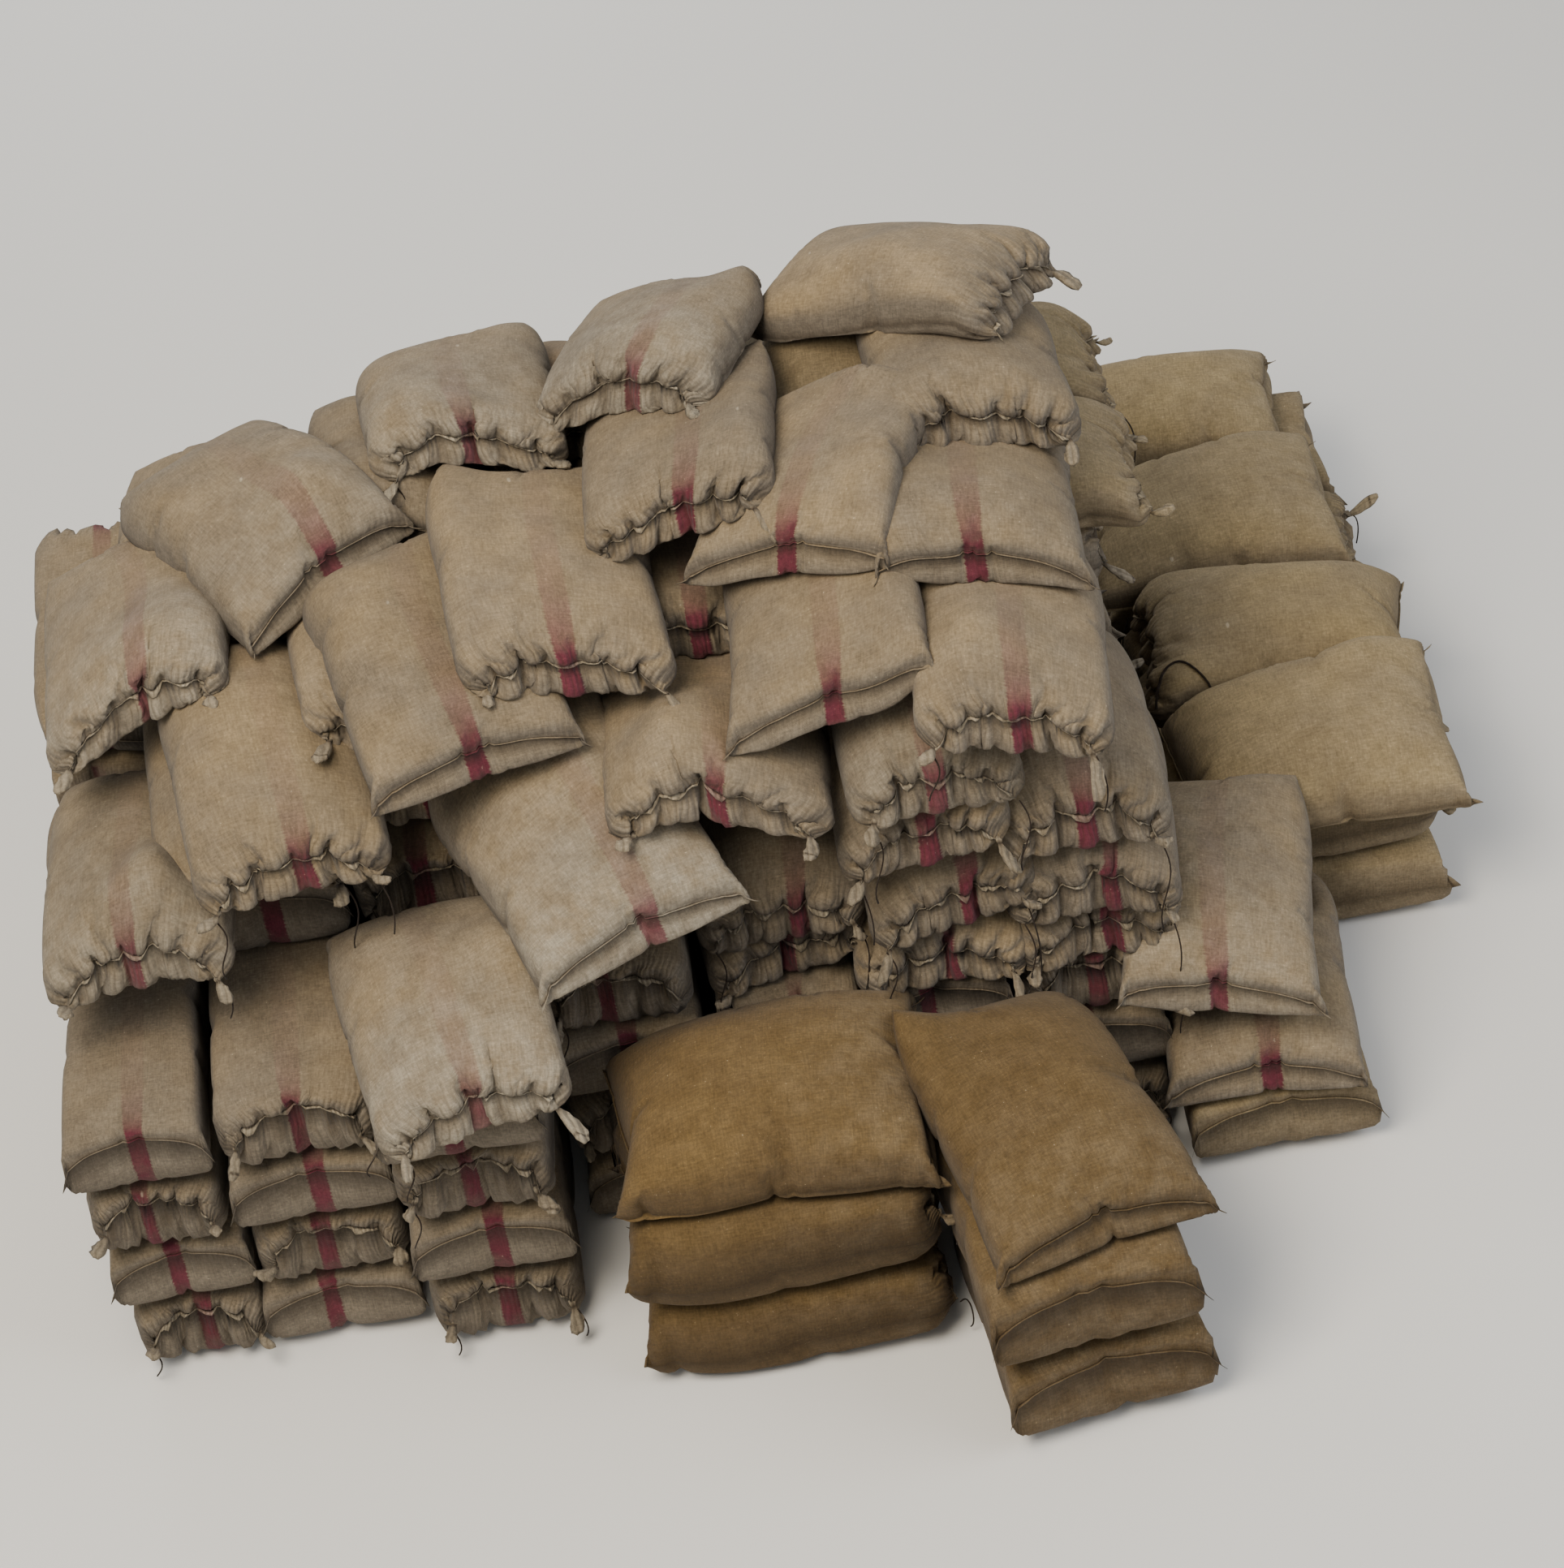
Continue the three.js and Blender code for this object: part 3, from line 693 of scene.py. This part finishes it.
# Loose twine that hangs down in a slow wave, in front of all sacks below it, and ends above the floor.
def twineTail(root, outward, rng, shortest, longest, spec):
    fall = min(rng.uniform(shortest, longest), root[2] - trimSettings["overFloor"])
    steps = np.linspace(0, 1, trimSettings["twineSteps"])
    path = np.stack([
        root[0] + outward * 0.01 + 0.02 * np.sin(steps * rng.uniform(2, 6)),
        root[1] - 0.03 * np.sin(steps * 2.5) - 0.012,
        root[2] + 0.012 * np.sin(steps * 3) - fall * steps,
    ], -1)
    stand = np.array([standingOut(point, spec) for point in path])
    path[:, 1] -= smoothed(np.maximum.accumulate(stand)[None, :], 2)[0]
    radii = np.full((len(steps), trimSettings["twineSides"]), trimSettings["twine"])
    return (*tube(path, radii), np.ones(radii.size))


# Tufts and twine at both ends of a gathered mouth, each by chance.
def mouthTrim(local, rng, tails, spec):
    chance, shortest, longest = tails
    pieces = []
    for side, outward in ((0, -1.0), (-1, 1.0)):
        root = local[:, 0, side].mean(0)
        if rng.random() < trimSettings["tuftChance"]:
            pieces.append(tuft(root, outward, rng))
        if rng.random() < chance:
            pieces.append(twineTail(root, outward, rng, shortest, longest, spec))
    return pieces


# A loop of twine that lies on the upper face beside the mouth: its path runs over the grid of the face in an
# arch, columns = edge - 11 * sin(t * 180 degrees)^0.5.
def twineLoop(face):
    t = np.linspace(0, 1, trimSettings["loopSteps"])
    columns = face.shape[1] - 2 - 11 * np.sin(t * np.pi) ** 0.5
    rows = 5 + 14 * t + np.sin(t * 5)
    path = np.stack([sampled(face[..., axis], rows, columns) for axis in range(3)], -1)
    facing = gridNormals(face)
    lift = np.stack([sampled(facing[..., axis], rows, columns) for axis in range(3)], -1)
    radii = np.full((len(t), trimSettings["twineSides"]), trimSettings["loop"])
    return (*tube(path + lift * 0.005, radii), np.ones(radii.size))


# Wear of the cloth, and the painted light and shade on it. Values without a unit are shares.
wearSettings = {
    "foldDepth": 0.006,  # metres of hollow that get the most painted shade
    # Painted shade in hollows and in the pinches of a gathered mouth, as the most of the dirt colour that
    # they get
    "foldShade": 0.6,
    "pinchShade": 0.75,
    # Bleaching together with a painted lit top on faces that look up, as a share drawn by chance
    "bleachAndLitTop": (0.7, 1.1),
    "shade": 0.78,  # painted shade: the darker tone of the sacks in the shade under the corner
    "toneSpread": 0.09,  # by how much a sack may be brighter or darker than its neighbours
    "stripeLeft": 0.08,  # of the dye, on top and far from the mouth
    "stripeFade": (0.09, 0.21),  # metres from the mouth over which the stripe fades on top
    "endStripe": 0.07,  # metres from the mouth over which it is strongest
    "pleatReach": 0.06,  # metres from a seam over which pleats fade
    "sewnPleats": 0.22,
    "dustReach": 0.32,  # metres of dust from a mouth
    "littleDust": 0.15,
    "ruffleHem": 0.8,
    "tuftHem": 0.4,
    # Trim gets a little painted shade and part of the bleaching and painted lit top
    "trim": {"fold": 0.1, "bleachAndLitTop": 0.5, "dye": 0, "pleats": 0.8},
    "trimAside": (5, 0),  # metres in the sheet that keep trim clear of the stripe
}

# Sacks whose mouths are grey with grain dust, and how grey. All others have a little of it.
dustyMouths = {
    "sack_slanting_front": 0.75,
    "sack_step_front": 0.7,
    "sack_back_left": 0.5,
    "sack_back_middle": 0.6,
    "sack_edge_front": 0.55,
    "sack_step_edge": 0.5,
    "sack_front_inner": 0.4,
    "sack_diagonal_left": 0.35,
    "sack_side_striped_top": 0.4,
}


# Every so many rows and columns of a pattern, the outer ones always with them, and the places of the rows.
def thinned(shape, every):
    kept = [np.round(np.linspace(0, count - 1, count // every)).astype(int) for count in shape.shape[1:3]]
    v = crowded(sheetSettings["rows"], sheetSettings["endCrowding"])[kept[0]]
    return shape[:, kept[0]][:, :, kept[1]], v


# A pattern's outline scaled to the sack. Its back corners are drawn in, its middle is fuller by
# m * (1 - v^2), and the crease in its back end lies aside by a * (1 - u^2) * v^2.
def scaledOutline(shape, span, u, v, spec, rng, number):
    width, length = spec[3:5]
    start = laying["backStart"]
    backRound = rng.uniform(*laying["backRound"]) * np.clip((v - start) / (1 - start), 0, 1) ** 2.5
    fuller = (1 - backRound) * (1 + laying["middle"] * (1 - v ** 2))
    lx = shape[..., 0] * laying["plump"] * width / span[0] * fuller[:, None]
    aside = np.random.default_rng(1000 + number).uniform(-1, 1) * laying["creaseAside"]
    lx = lx + aside * width * (1 - u[None, :] ** 2) * np.clip(v, 0, 1)[:, None] ** 2
    return lx, shape[..., 1] * length / span[1]


# Heights of both faces: each stands off the middle surface by a share of half the thickness, raised to a
# power for rounder faces, and the front seam lies high between two lower ears. Gives the heights, the share,
# and how far each face stands out in front, as 4 * share * (1 - share).
def faceHeights(shape, span, u, v, thick, rng):
    u, v = u[None, :], v[:, None]
    frontness = np.clip(0.5 - 1.4 * v, 0, 1)
    half, sway = (shape[0, ..., 2] - shape[1, ..., 2]) / 2, shape[..., 2].mean(0)
    share = 1 - (1 - np.clip(half / half.max(), 0, 1)) ** laying["roundness"]
    dome = laying["dome"]
    share = share ** laying["fullness"] * (1 - dome + dome * (1 - u ** 2) * (1 - v ** 2))
    lumps = laying["lumps"] * softNoise(rng, half.shape, (9, 6)) * share
    seam = laying["seamRise"] - laying["seamFall"] * np.abs(u) ** 3
    rim = frontness * seam - (1 - frontness) * laying["sideDrop"]
    lift = sway * thick / span[2] + rim * thick * (1 - share)
    lz = np.stack([lift + share * thick / 2 + lumps, lift - share * thick / 2])
    swell = frontness * 4 * share * (1 - share) * (1 - np.abs(u) ** 3)
    bellies = np.array([laying["upperBelly"], 1.0])[:, None, None] * laying["belly"]
    return lz, share, swell * bellies


# A gathered mouth has a pinch at each stitch and bulges between: lobes = |cos(bends * 180 degrees)|^0.7.
# They fade over the cloth as exp(-(distance / reach)^1.5). Gives the points, the lobes and that fading.
def gatheredMouth(grid, u, share, fromFront, rng):
    bends = u * rng.uniform(*laying["lobeCount"])
    bends = bends + 0.3 * softNoise(rng, (2, len(u)), (1, 6))[0] + rng.uniform(0, 1)
    lobes = np.abs(np.cos(bends * np.pi)) ** 0.7
    mouthShare = np.exp(-((fromFront / laying["lobeReach"]) ** 1.5))
    stand = laying["lobes"] * (lobes - 0.5) * mouthShare * np.minimum(share * 4, 1)
    grid = grid + faceNormals(grid) * stand[..., None]
    grid[..., 1] += laying["cinch"] * (1 - lobes) * mouthShare
    return grid, lobes, mouthShare


# Sets the sack down. A single sack follows its solid's middle surface, and its lower face presses flat on
# what it rests on, k * ln(1 + exp(height / k)) above it. A sack of a lower layer lies level and is pressed
# flat on both faces, limit * tanh(p * height / limit) / tanh(p).
def setDown(grid, bed, spec):
    width, length, thick = spec[3:6]
    lx, ly, lz = grid[..., 0], grid[..., 1], grid[..., 2]
    if isinstance(bed, tuple):
        middle, floor = bed
        column = (lx / (width / 2 + laying["reach"]) + 1) / 2 * (middle.shape[1] - 1)
        row = (ly / (length / 2 + laying["reach"]) + 1) / 2 * (middle.shape[0] - 1)
        lz = lz + sampled(middle, row, column)
        soft = laying["softness"]
        rest = sampled(floor, row[1], column[1]) + laying["clearance"]
        lz[1] = rest + soft * np.logaddexp(0, (lz[1] - rest) / soft)
    else:
        limit, pressed = thick / 2 - laying["clearance"], laying["pressed"]
        lz = bed + thick / 2 + limit * np.tanh(pressed * lz / limit) / math.tanh(pressed)
    gap = np.maximum(2 * laying["hem"] - (lz[0] - lz[1]), 0)
    lz[0] += gap / 2
    lz[1] -= gap / 2
    return np.stack([lx, ly, lz], -1)


# Adds the cloth past both seams: a thin flange that reaches further at its ears by u^8, or a loose ruffle in
# front of a gathered seam. Gives the points and the places in the sheet.
def withFlanges(local, flat, u, lobes, rng):
    columns, hem = len(u), laying["hem"]
    wrinkle = softNoise(rng, (2, columns), (1, 17))
    blocks, sheets = [local], [flat]
    for end, direction, ear in ((0, -1, laying["frontEar"]), (-1, 1, laying["backEar"])):
        middleRim = local[:, end].mean(0)
        reach = laying["flange"] + ear * np.abs(u) ** 8
        slope = 0.35 + 0.3 * wrinkle[end]
        if end == 0 and lobes is not None:
            reach = 0.003 + laying["ruffle"] * lobes * np.clip(0.5 + 1.2 * wrinkle[0], 0, 1)
            slope = 0.9 * softNoise(rng, (2, columns), (1, 20))[0]
        way = np.stack([0.35 * u, np.full(columns, direction), slope], -1) * reach[:, None]
        out, outFlat = [], []
        for step in laying["flangeSteps"]:
            moved = middleRim + way * step
            out.append(np.stack([moved + (0, 0, hem), moved - (0, 0, hem)]))
            outFlat.append(flat[:, end] + (0, direction * laying["flangeCloth"] * step))
        order = slice(None, None, direction)
        place = 0 if end == 0 else len(blocks)
        blocks.insert(place, np.stack(out, 1)[:, order])
        sheets.insert(place, np.stack(outFlat, 1)[:, order])
    return np.concatenate(blocks, 1), np.concatenate(sheets, 1)


# The wear and painted light at each point: painted shade where the cloth lies deeper than its surroundings
# and at the pinches of a gathered mouth, the sun's bleaching together with a painted lit top, less on sacks
# in the shade, pleats beside the seams, the stripe's dye, which fades from the mouth as exp(-(distance /
# reach)^1.3), and dust, which fades as exp(-(distance / reach)^2).
def clothWear(body, fromFront, gathers, shaded, dustShare, rng):
    flanges = len(laying["flangeSteps"])
    pad = ((0, 0), (flanges, flanges), (0, 0))
    upward = faceNormals(body)[..., 2]
    depths = np.stack([smoothed(height, 4) - height for height in body[..., 2]])
    hollow = depths * np.array([1, -1])[:, None, None]
    # Painted shade where the cloth lies deeper than around it.
    fold = np.clip(hollow / wearSettings["foldDepth"], 0, 1) * wearSettings["foldShade"]
    # Bleaching together with a painted lit top on faces that look up, less on sacks in the shade.
    bleachAndLitTop = np.clip((upward - 0.25) / 0.5, 0, 1) * rng.uniform(*wearSettings["bleachAndLitTop"]) * shaded ** 4
    fromSeam = np.pad(np.minimum(fromFront, fromFront[:, -1:] - fromFront), pad)
    fromMouth = np.pad(fromFront, pad)
    fadeReach = rng.uniform(*wearSettings["stripeFade"]) * (1 + 1.2 * dustShare)
    faded = wearSettings["stripeLeft"] + 0.8 * np.exp(-((fromMouth / fadeReach) ** 1.3))
    faded = faded + 0.5 * np.exp(-((fromMouth / wearSettings["endStripe"]) ** 2))
    onTop = np.clip(0.5 + 1.5 * upward, 0, 1)
    pleatShare = wearSettings["sewnPleats"] if gathers is None else 1.0
    pleats = 0.05 + np.exp(-fromSeam / wearSettings["pleatReach"]) * pleatShare
    pleats[1] *= 0.7
    hemmed = np.zeros(fold.shape)
    if gathers is not None:
        lobes, mouthShare = gathers
        shut = np.pad((1 - lobes) * mouthShare, pad, mode="edge")
        # Painted shade in the pinches of a gathered mouth.
        fold = np.maximum(fold, wearSettings["pinchShade"] * np.clip(shut * 1.6 - 0.6, 0, 1))
        pleats[:, fromFront.shape[1] // 2 :] *= 0.3
        hemmed[:, :flanges] = wearSettings["ruffleHem"]
    dusted = dustShare * (0.3 + np.exp(-((fromMouth / wearSettings["dustReach"]) ** 2)))
    dye = (1 - onTop) + onTop * faded
    return {"fold": fold, "bleachAndLitTop": bleachAndLitTop, "dye": dye, "hemmed": hemmed, "pleats": pleats, "dusted": dusted}


# Joins trim to a sack's points, faces, places in the cloth and wear.
def withTrim(rings, faces, cloth, layers, trim, dustShare):
    for points, sides, cord in trim:
        faces = np.vstack([faces, sides + len(rings)])
        rings = np.vstack([rings, points])
        cloth = np.vstack([cloth, points[:, :2] + wearSettings["trimAside"]])
        wear = {**wearSettings["trim"], "cord": cord, "dusted": dustShare}
        wear["hemmed"] = wearSettings["tuftHem"] * (1 - cord)
        for label, value in wear.items():
            layers[label] = np.append(layers[label], np.broadcast_to(value, len(points)))
    return rings, faces, cloth, layers


# Bends a filled pattern into a sack. The bed is a solid's middle surface and what that rests on, or the
# height of a level layer.
def laySack(name, spec, bed, nodes, stripe, finish, number, every=1):
    mouth = spec[6]
    rng = np.random.default_rng(number)
    # Sacks in the shade under the corner get painted shade: a darker tone and less of the pale top.
    shaded = wearSettings["shade"] if "shaded" in name else 1.0
    dustShare = dustyMouths.get(name, wearSettings["littleDust"])
    shape, v = thinned(patterns[mouth][number % len(patterns[mouth])], every)
    u = np.linspace(-1, 1, shape.shape[2])
    span = np.ptp(shape.reshape(-1, 3), axis=0)
    lx, ly = scaledOutline(shape, span, u, v, spec, rng, number)
    steps = np.linalg.norm(np.diff(shape, axis=1), axis=-1) * spec[4] / span[1]
    fromFront = np.concatenate([np.zeros((2, 1, len(u))), np.cumsum(steps, axis=1)], 1)
    lz, share, swell = faceHeights(shape, span, u, v, spec[5], rng)
    grid, gathers = np.stack([lx, ly - swell, lz], -1), None
    if mouth == "gathered":
        grid, *gathers = gatheredMouth(grid, u, share, fromFront, rng)
    local = setDown(grid, bed, spec)
    flat = np.stack([clothGrid(face, u, v) for face in local])
    body, sheet = withFlanges(local, flat, u, gathers and gathers[0], rng)
    wear = clothWear(body, fromFront, gathers, shaded, dustShare, rng)
    if stripe is None:
        wear["dye"] = wear["dye"] * 0
    rings = ringed(body).reshape(-1, 3)
    sheet = sheet - np.array([(stripe or 0) * sheetSettings["width"] / 2, 0])
    layers = {label: ringed(values).ravel() for label, values in wear.items()}
    layers["cord"] = np.zeros(len(rings))
    trim = []
    inColumn = name.startswith(("sack_column", "sack_front_inner"))
    if mouth == "gathered":
        trim = mouthTrim(local, rng, trimSettings["twineTails"]["column" if inColumn else "other"], spec)
    if name == "sack_side_second":
        trim.append(twineLoop(local[0]))
    faces, cloth = ringFaces(body.shape[1], len(u)), ringed(sheet).reshape(-1, 2)
    rings, faces, cloth, layers = withTrim(rings, faces, cloth, layers, trim, dustShare)
    # The tone spreads by chance, times the painted shade of sacks in the shade.
    tone = shaded * (1 + wearSettings["toneSpread"] * rng.uniform(-1, 1))
    layers["tone"] = np.full(len(rings), tone)
    height = np.maximum(rings[:, 2], laying["floor"])
    world = np.stack([*inHeap(rings[:, 0], rings[:, 1], spec), height], -1)
    if inColumn:
        laidTrees.append(BVHTree.FromPolygons(world.tolist(), faces.tolist()))
    writePiece(name, world, faces, cloth, layers, jute[finish], nodes)


# A sack's spec: its place in the heap in metres, from the layout's millimetres, its turn, size and mouth.
def specOf(px, py, turn, size, mouth):
    return px / 1000 - heapMiddle[0], py / 1000 - heapMiddle[1], turn, *size, mouth


# Most sacks are weathered. Those in front are new, and those at the side and in the shade are dusty.
def finishOf(node):
    if node.startswith("fresh"):
        return "fresh_jute"
    dusty = node.startswith(("side", "shaded", "corner_low")) and "striped" not in node
    return "dusty_jute" if dusty else "weathered_jute"


# The sacks that are seen one by one: place in millimetres in the layout, turn in degrees, size in metres,
# mouth, and where the stripe lies across the sack, from -1 at its left edge to 1 at its right.
wholeSack = (0.58, 0.88, 0.285)
slimSack = (0.52, 0.86, 0.29)
tallSack = (0.52, 0.86, 0.312)
sackTable = {
    "column_right_4": (-110, 410, 2, tallSack, "gathered", 0.15),
    "column_middle_4": (-560, 400, -2, slimSack, "gathered", 0.1),
    "column_left_4": (-1010, 520, 3, slimSack, "gathered", 0.0),
    "column_right_5": (-95, 400, -3, tallSack, "gathered", 0.2),
    "column_middle_5": (-530, 400, 3, slimSack, "gathered", 0.15),
    "column_left_5": (-990, 500, -2, slimSack, "gathered", 0.2),
    "column_right_6": (-120, 410, 1, tallSack, "gathered", 0.0),
    "column_middle_6": (-550, 380, -2, slimSack, "gathered", 0.05),
    "fresh_left": (-1130, -300, 88, (0.68, 0.93, 0.345), "sewn", None),
    "fresh_right": (-370, -530, 14, (0.64, 0.93, 0.31), "sewn", None),
    "step_hidden": (-1500, 380, 6, wholeSack, "sewn", 0.0),
    "step_front": (-1990, -80, 10, wholeSack, "gathered", 0.0),
    "step_end_middle": (-1990, 830, 0, wholeSack, "gathered", 0.2),
    "step_end_left": (-2440, 560, 2, wholeSack, "gathered", 0.1),
    "step_top_left": (-2350, 420, 7, wholeSack, "gathered", 0.1),
    "step_edge": (-2780, 400, -3, wholeSack, "gathered", 0.0),
    "step_top_middle": (-1960, 800, 4, wholeSack, "gathered", 0.0),
    "slanting_front": (-1545, 190, 22, (0.64, 0.93, 0.29), "sewn", 0.12),
    "front_low": (-1085, 390, -4, (0.64, 0.88, 0.285), "gathered", 0.08),
    "corner_low_front": (-180, 1160, 90, (0.47, 0.88, 0.285), "gathered", None),
    "corner_low_back": (-200, 1640, 90, (0.47, 0.88, 0.285), "gathered", None),
    "front_inner": (-520, 370, 2, slimSack, "gathered", 0.0),
    "corner_front": (-250, 290, -5, (0.56, 0.84, 0.285), "gathered", 0.06),
    "back_plain_left": (-2080, 1520, 4, wholeSack, "sewn", None),
    "back_plain_middle": (-1890, 1340, 0, wholeSack, "sewn", None),
    "back_plain_right": (-1460, 1440, 3, wholeSack, "sewn", 0.0),
    "edge_back": (-2540, 1440, -8, wholeSack, "sewn", 0.1),
    "edge_front": (-2700, 900, 2, wholeSack, "gathered", 0.1),
    "diagonal_left": (-2310, 1120, 32, wholeSack, "sewn", 0.1),
    "front_left": (-1850, 510, 15, (0.61, 0.82, 0.285), "sewn", 0.0),
    "behind_low": (-1110, 960, 0, wholeSack, "gathered", 0.05),
    "front_middle": (-1480, 690, 4, (0.62, 0.88, 0.285), "gathered", 0.03),
    "back_small": (-1370, 1600, -8, (0.46, 0.7, 0.285), "gathered", -0.1),
    "shaded_back": (-690, 1560, 4, (0.52, 0.8, 0.285), "sewn", None),
    "shaded_front": (-620, 1330, -3, (0.52, 0.8, 0.285), "sewn", None),
    "front_centre": (-735, 430, -4, (0.59, 0.77, 0.285), "sewn", 0.03),
    "corner_second": (-250, 740, -4, wholeSack, "sewn", -0.05),
    "corner_third": (-215, 1150, 2, (0.58, 0.8, 0.285), "gathered", None),
    "corner_back": (-360, 1430, 60, (0.58, 0.82, 0.285), "gathered", None),
    "turned_middle": (-700, 760, -22, (0.6, 0.68, 0.285), "sewn", 0),
    "round_middle": (-1050, 980, -5, (0.57, 0.78, 0.285), "gathered", 0.12),
    "back_left": (-1690, 1390, 6, (0.58, 0.7, 0.285), "gathered", 0.0),
    "back_middle": (-1080, 1330, -24, (0.58, 0.62, 0.285), "gathered", 0.2),
    "side_back": (440, 2560, 86, wholeSack, "sewn", None),
    "side_third": (520, 2000, 92, wholeSack, "sewn", None),
    "side_second": (650, 1400, 268, wholeSack, "gathered", None),
    "side_first": (660, 890, 91, wholeSack, "sewn", None),
    "side_striped_low": (340, 240, -5, wholeSack, "sewn", 0.05),
    "side_striped_top": (275, 290, -9, wholeSack, "sewn", -0.03),
}

for number, (node, entry) in enumerate(sackTable.items()):
    spec = specOf(*entry[:5])
    laySack("sack_" + node, spec, bedOf(node, spec), [node], entry[5], finishOf(node), number)
print("stage 5:", len(sackTable), "single sacks laid")


# The rows of the lower layers. Each sack has its place, turn, width and length in millimetres and degrees.
backRow = [(-330, 1160, 90, 464, 900), (-330, 1630, 90, 464, 900)]
backRow += [(px, 1390, 0, 470, 920) for px in (-1022, -1500, -1978, -2456)] + [(-2904, 1390, 0, 410, 920)]
middleRow = [(-2904, 770, 270, 305, 410)]
frontRow = [(-1985, 60, 0, 470, 920), (-2462, 150, 0, 470, 920)]
frontRow += [(-2908, 150, 0, 410, 920), (-1500, 430, 0, 460, 900)]
fifthRow = [(-2904, 610, 0, 410, 620), (-2450, 610, 0, 470, 620)]
fifthRow += [(-1978, 610, 0, 470, 620), (-1500, 610, 0, 460, 620)]
columnFeet = [(px, py, 0, 434, 900) for px, py in ((-150, 420), (-590, 430), (-1040, 440))]
sideRow = [(px, py, 90, 500, 900) for px, py in ((600, 930), (600, 1440), (585, 1950), (560, 2460))]
sideFoot = [(365, 235, 0, 560, 870)]
freshRow = [(-1150, -390, 90, 600, 920), (-365, -640, 8, 600, 900)]

# Each layer's underside and height in metres, its sacks and their finish.
layerTable = {
    "course_1": (0.0, 0.262, backRow + middleRow + frontRow + columnFeet, "hidden_jute"),
    "course_2": (0.262, 0.262, backRow + middleRow + frontRow + columnFeet, "hidden_jute"),
    "course_3": (0.524, 0.262, backRow + middleRow + frontRow + columnFeet, "hidden_jute"),
    "course_4": (0.786, 0.262, backRow + middleRow + frontRow, "hidden_jute"),
    "course_5": (1.048, 0.262, backRow + fifthRow, "hidden_jute"),
    "course_6": (1.31, 0.262, backRow, "hidden_jute"),
    "side_course_1": (0.0, 0.27, sideRow + sideFoot, "dusty_jute"),
    "side_course_2": (0.27, 0.27, sideRow, "dusty_jute"),
    "fresh_course_1": (0.0, 0.33, freshRow, "fresh_jute"),
    "fresh_course_2": (0.33, 0.33, freshRow, "fresh_jute"),
}

# Each sack lies a little off its place, and about half of the back row has its mouth at the back.
layerSettings = {
    "slack": (9, 14, 1.4),  # millimetres across and along the layout, and degrees of turn
    "backRowFrom": 1300,  # millimetres in the layout
    "mouthAtBack": 0.55,  # share of the back row's sacks
    "gatheredAtBack": 0.6,  # share of those sacks
    "stripeAside": 0.1,  # how far aside a stripe lies at most
    "firstNumber": 100,  # keeps their random draws apart from those of the single sacks
}
number = 0
slack = np.random.default_rng(77)
offX, offY, offTurn = layerSettings["slack"]
for node, (bottom, height, spots, finish) in layerTable.items():
    for place, (px, py, turn, width, length) in enumerate(spots):
        number += 1
        mouth = "gathered" if number % 2 else "sewn"
        inBackRow = turn == 0 and py > layerSettings["backRowFrom"]
        if inBackRow and slack.random() < layerSettings["mouthAtBack"]:
            turn, mouth = 180, "gathered" if slack.random() < layerSettings["gatheredAtBack"] else "sewn"
        px, py = px + slack.uniform(-offX, offX), py + slack.uniform(-offY, offY)
        turn += slack.uniform(-offTurn, offTurn)
        spec = specOf(px, py, turn, (width / 1000, length / 1000, height), mouth)
        striped = finish == "hidden_jute"
        stripe = layerSettings["stripeAside"] * math.sin(number * 2.4) if striped else None
        drawn = layerSettings["firstNumber"] + number
        laySack(f"{node}_sack_{place + 1}", spec, bottom, [node], stripe, finish, drawn, every=2)
print("stage 6:", number, "sacks of the lower layers laid")


# Plain pale floor.
def makeFloor():
    material = bpy.data.materials.new("paleFloor")
    material.use_nodes = True
    shader = material.node_tree.nodes["Principled BSDF"]
    shader.inputs["Base Color"].default_value = linear("d9d6cf")
    shader.inputs["Roughness"].default_value = 0.9
    corners = np.array([[-30, -30, 0], [30, -30, 0], [30, 30, 0], [-30, 30, 0]], float)
    mesh = meshFrom("floor", corners, np.array([[0, 1, 2, 3]]))
    mesh.materials.append(material)
    floor = bpy.data.objects.new("floor", mesh)
    bpy.context.scene.collection.objects.link(floor)


# Soft light: a pale sky, a broad lamp high in front, and weaker ones on the right and behind.
lightSettings = {
    "sky": ("e8edf2", 0.55),
    "lamps": (
        ("keyLamp", (-3.0, -4.5, 10.0), 5.0, 1400.0, "fff6e8"),
        ("fillLamp", (7.0, -3.5, 7.0), 6.0, 420.0, "eef3ff"),
        ("backLamp", (-1.5, 9.0, 5.0), 6.0, 380.0, "f2f4f8"),
    ),
}


def makeLights(settings):
    world = bpy.data.worlds.new("sky")
    world.use_nodes = True
    colour, strength = settings["sky"]
    background = world.node_tree.nodes["Background"]
    background.inputs["Color"].default_value = linear(colour)
    background.inputs["Strength"].default_value = strength
    bpy.context.scene.world = world
    for name, place, size, power, tint in settings["lamps"]:
        lamp = bpy.data.lights.new(name, "AREA")
        lamp.size = size
        lamp.energy = power
        lamp.color = linear(tint)[:3]
        holder = bpy.data.objects.new(name, lamp)
        holder.location = place
        holder.rotation_euler = (Vector((0, 0, 1)) - Vector(place)).to_track_quat("-Z", "Y").to_euler()
        bpy.context.scene.collection.objects.link(holder)


makeFloor()
makeLights(lightSettings)
print("stage 7: floor and light")
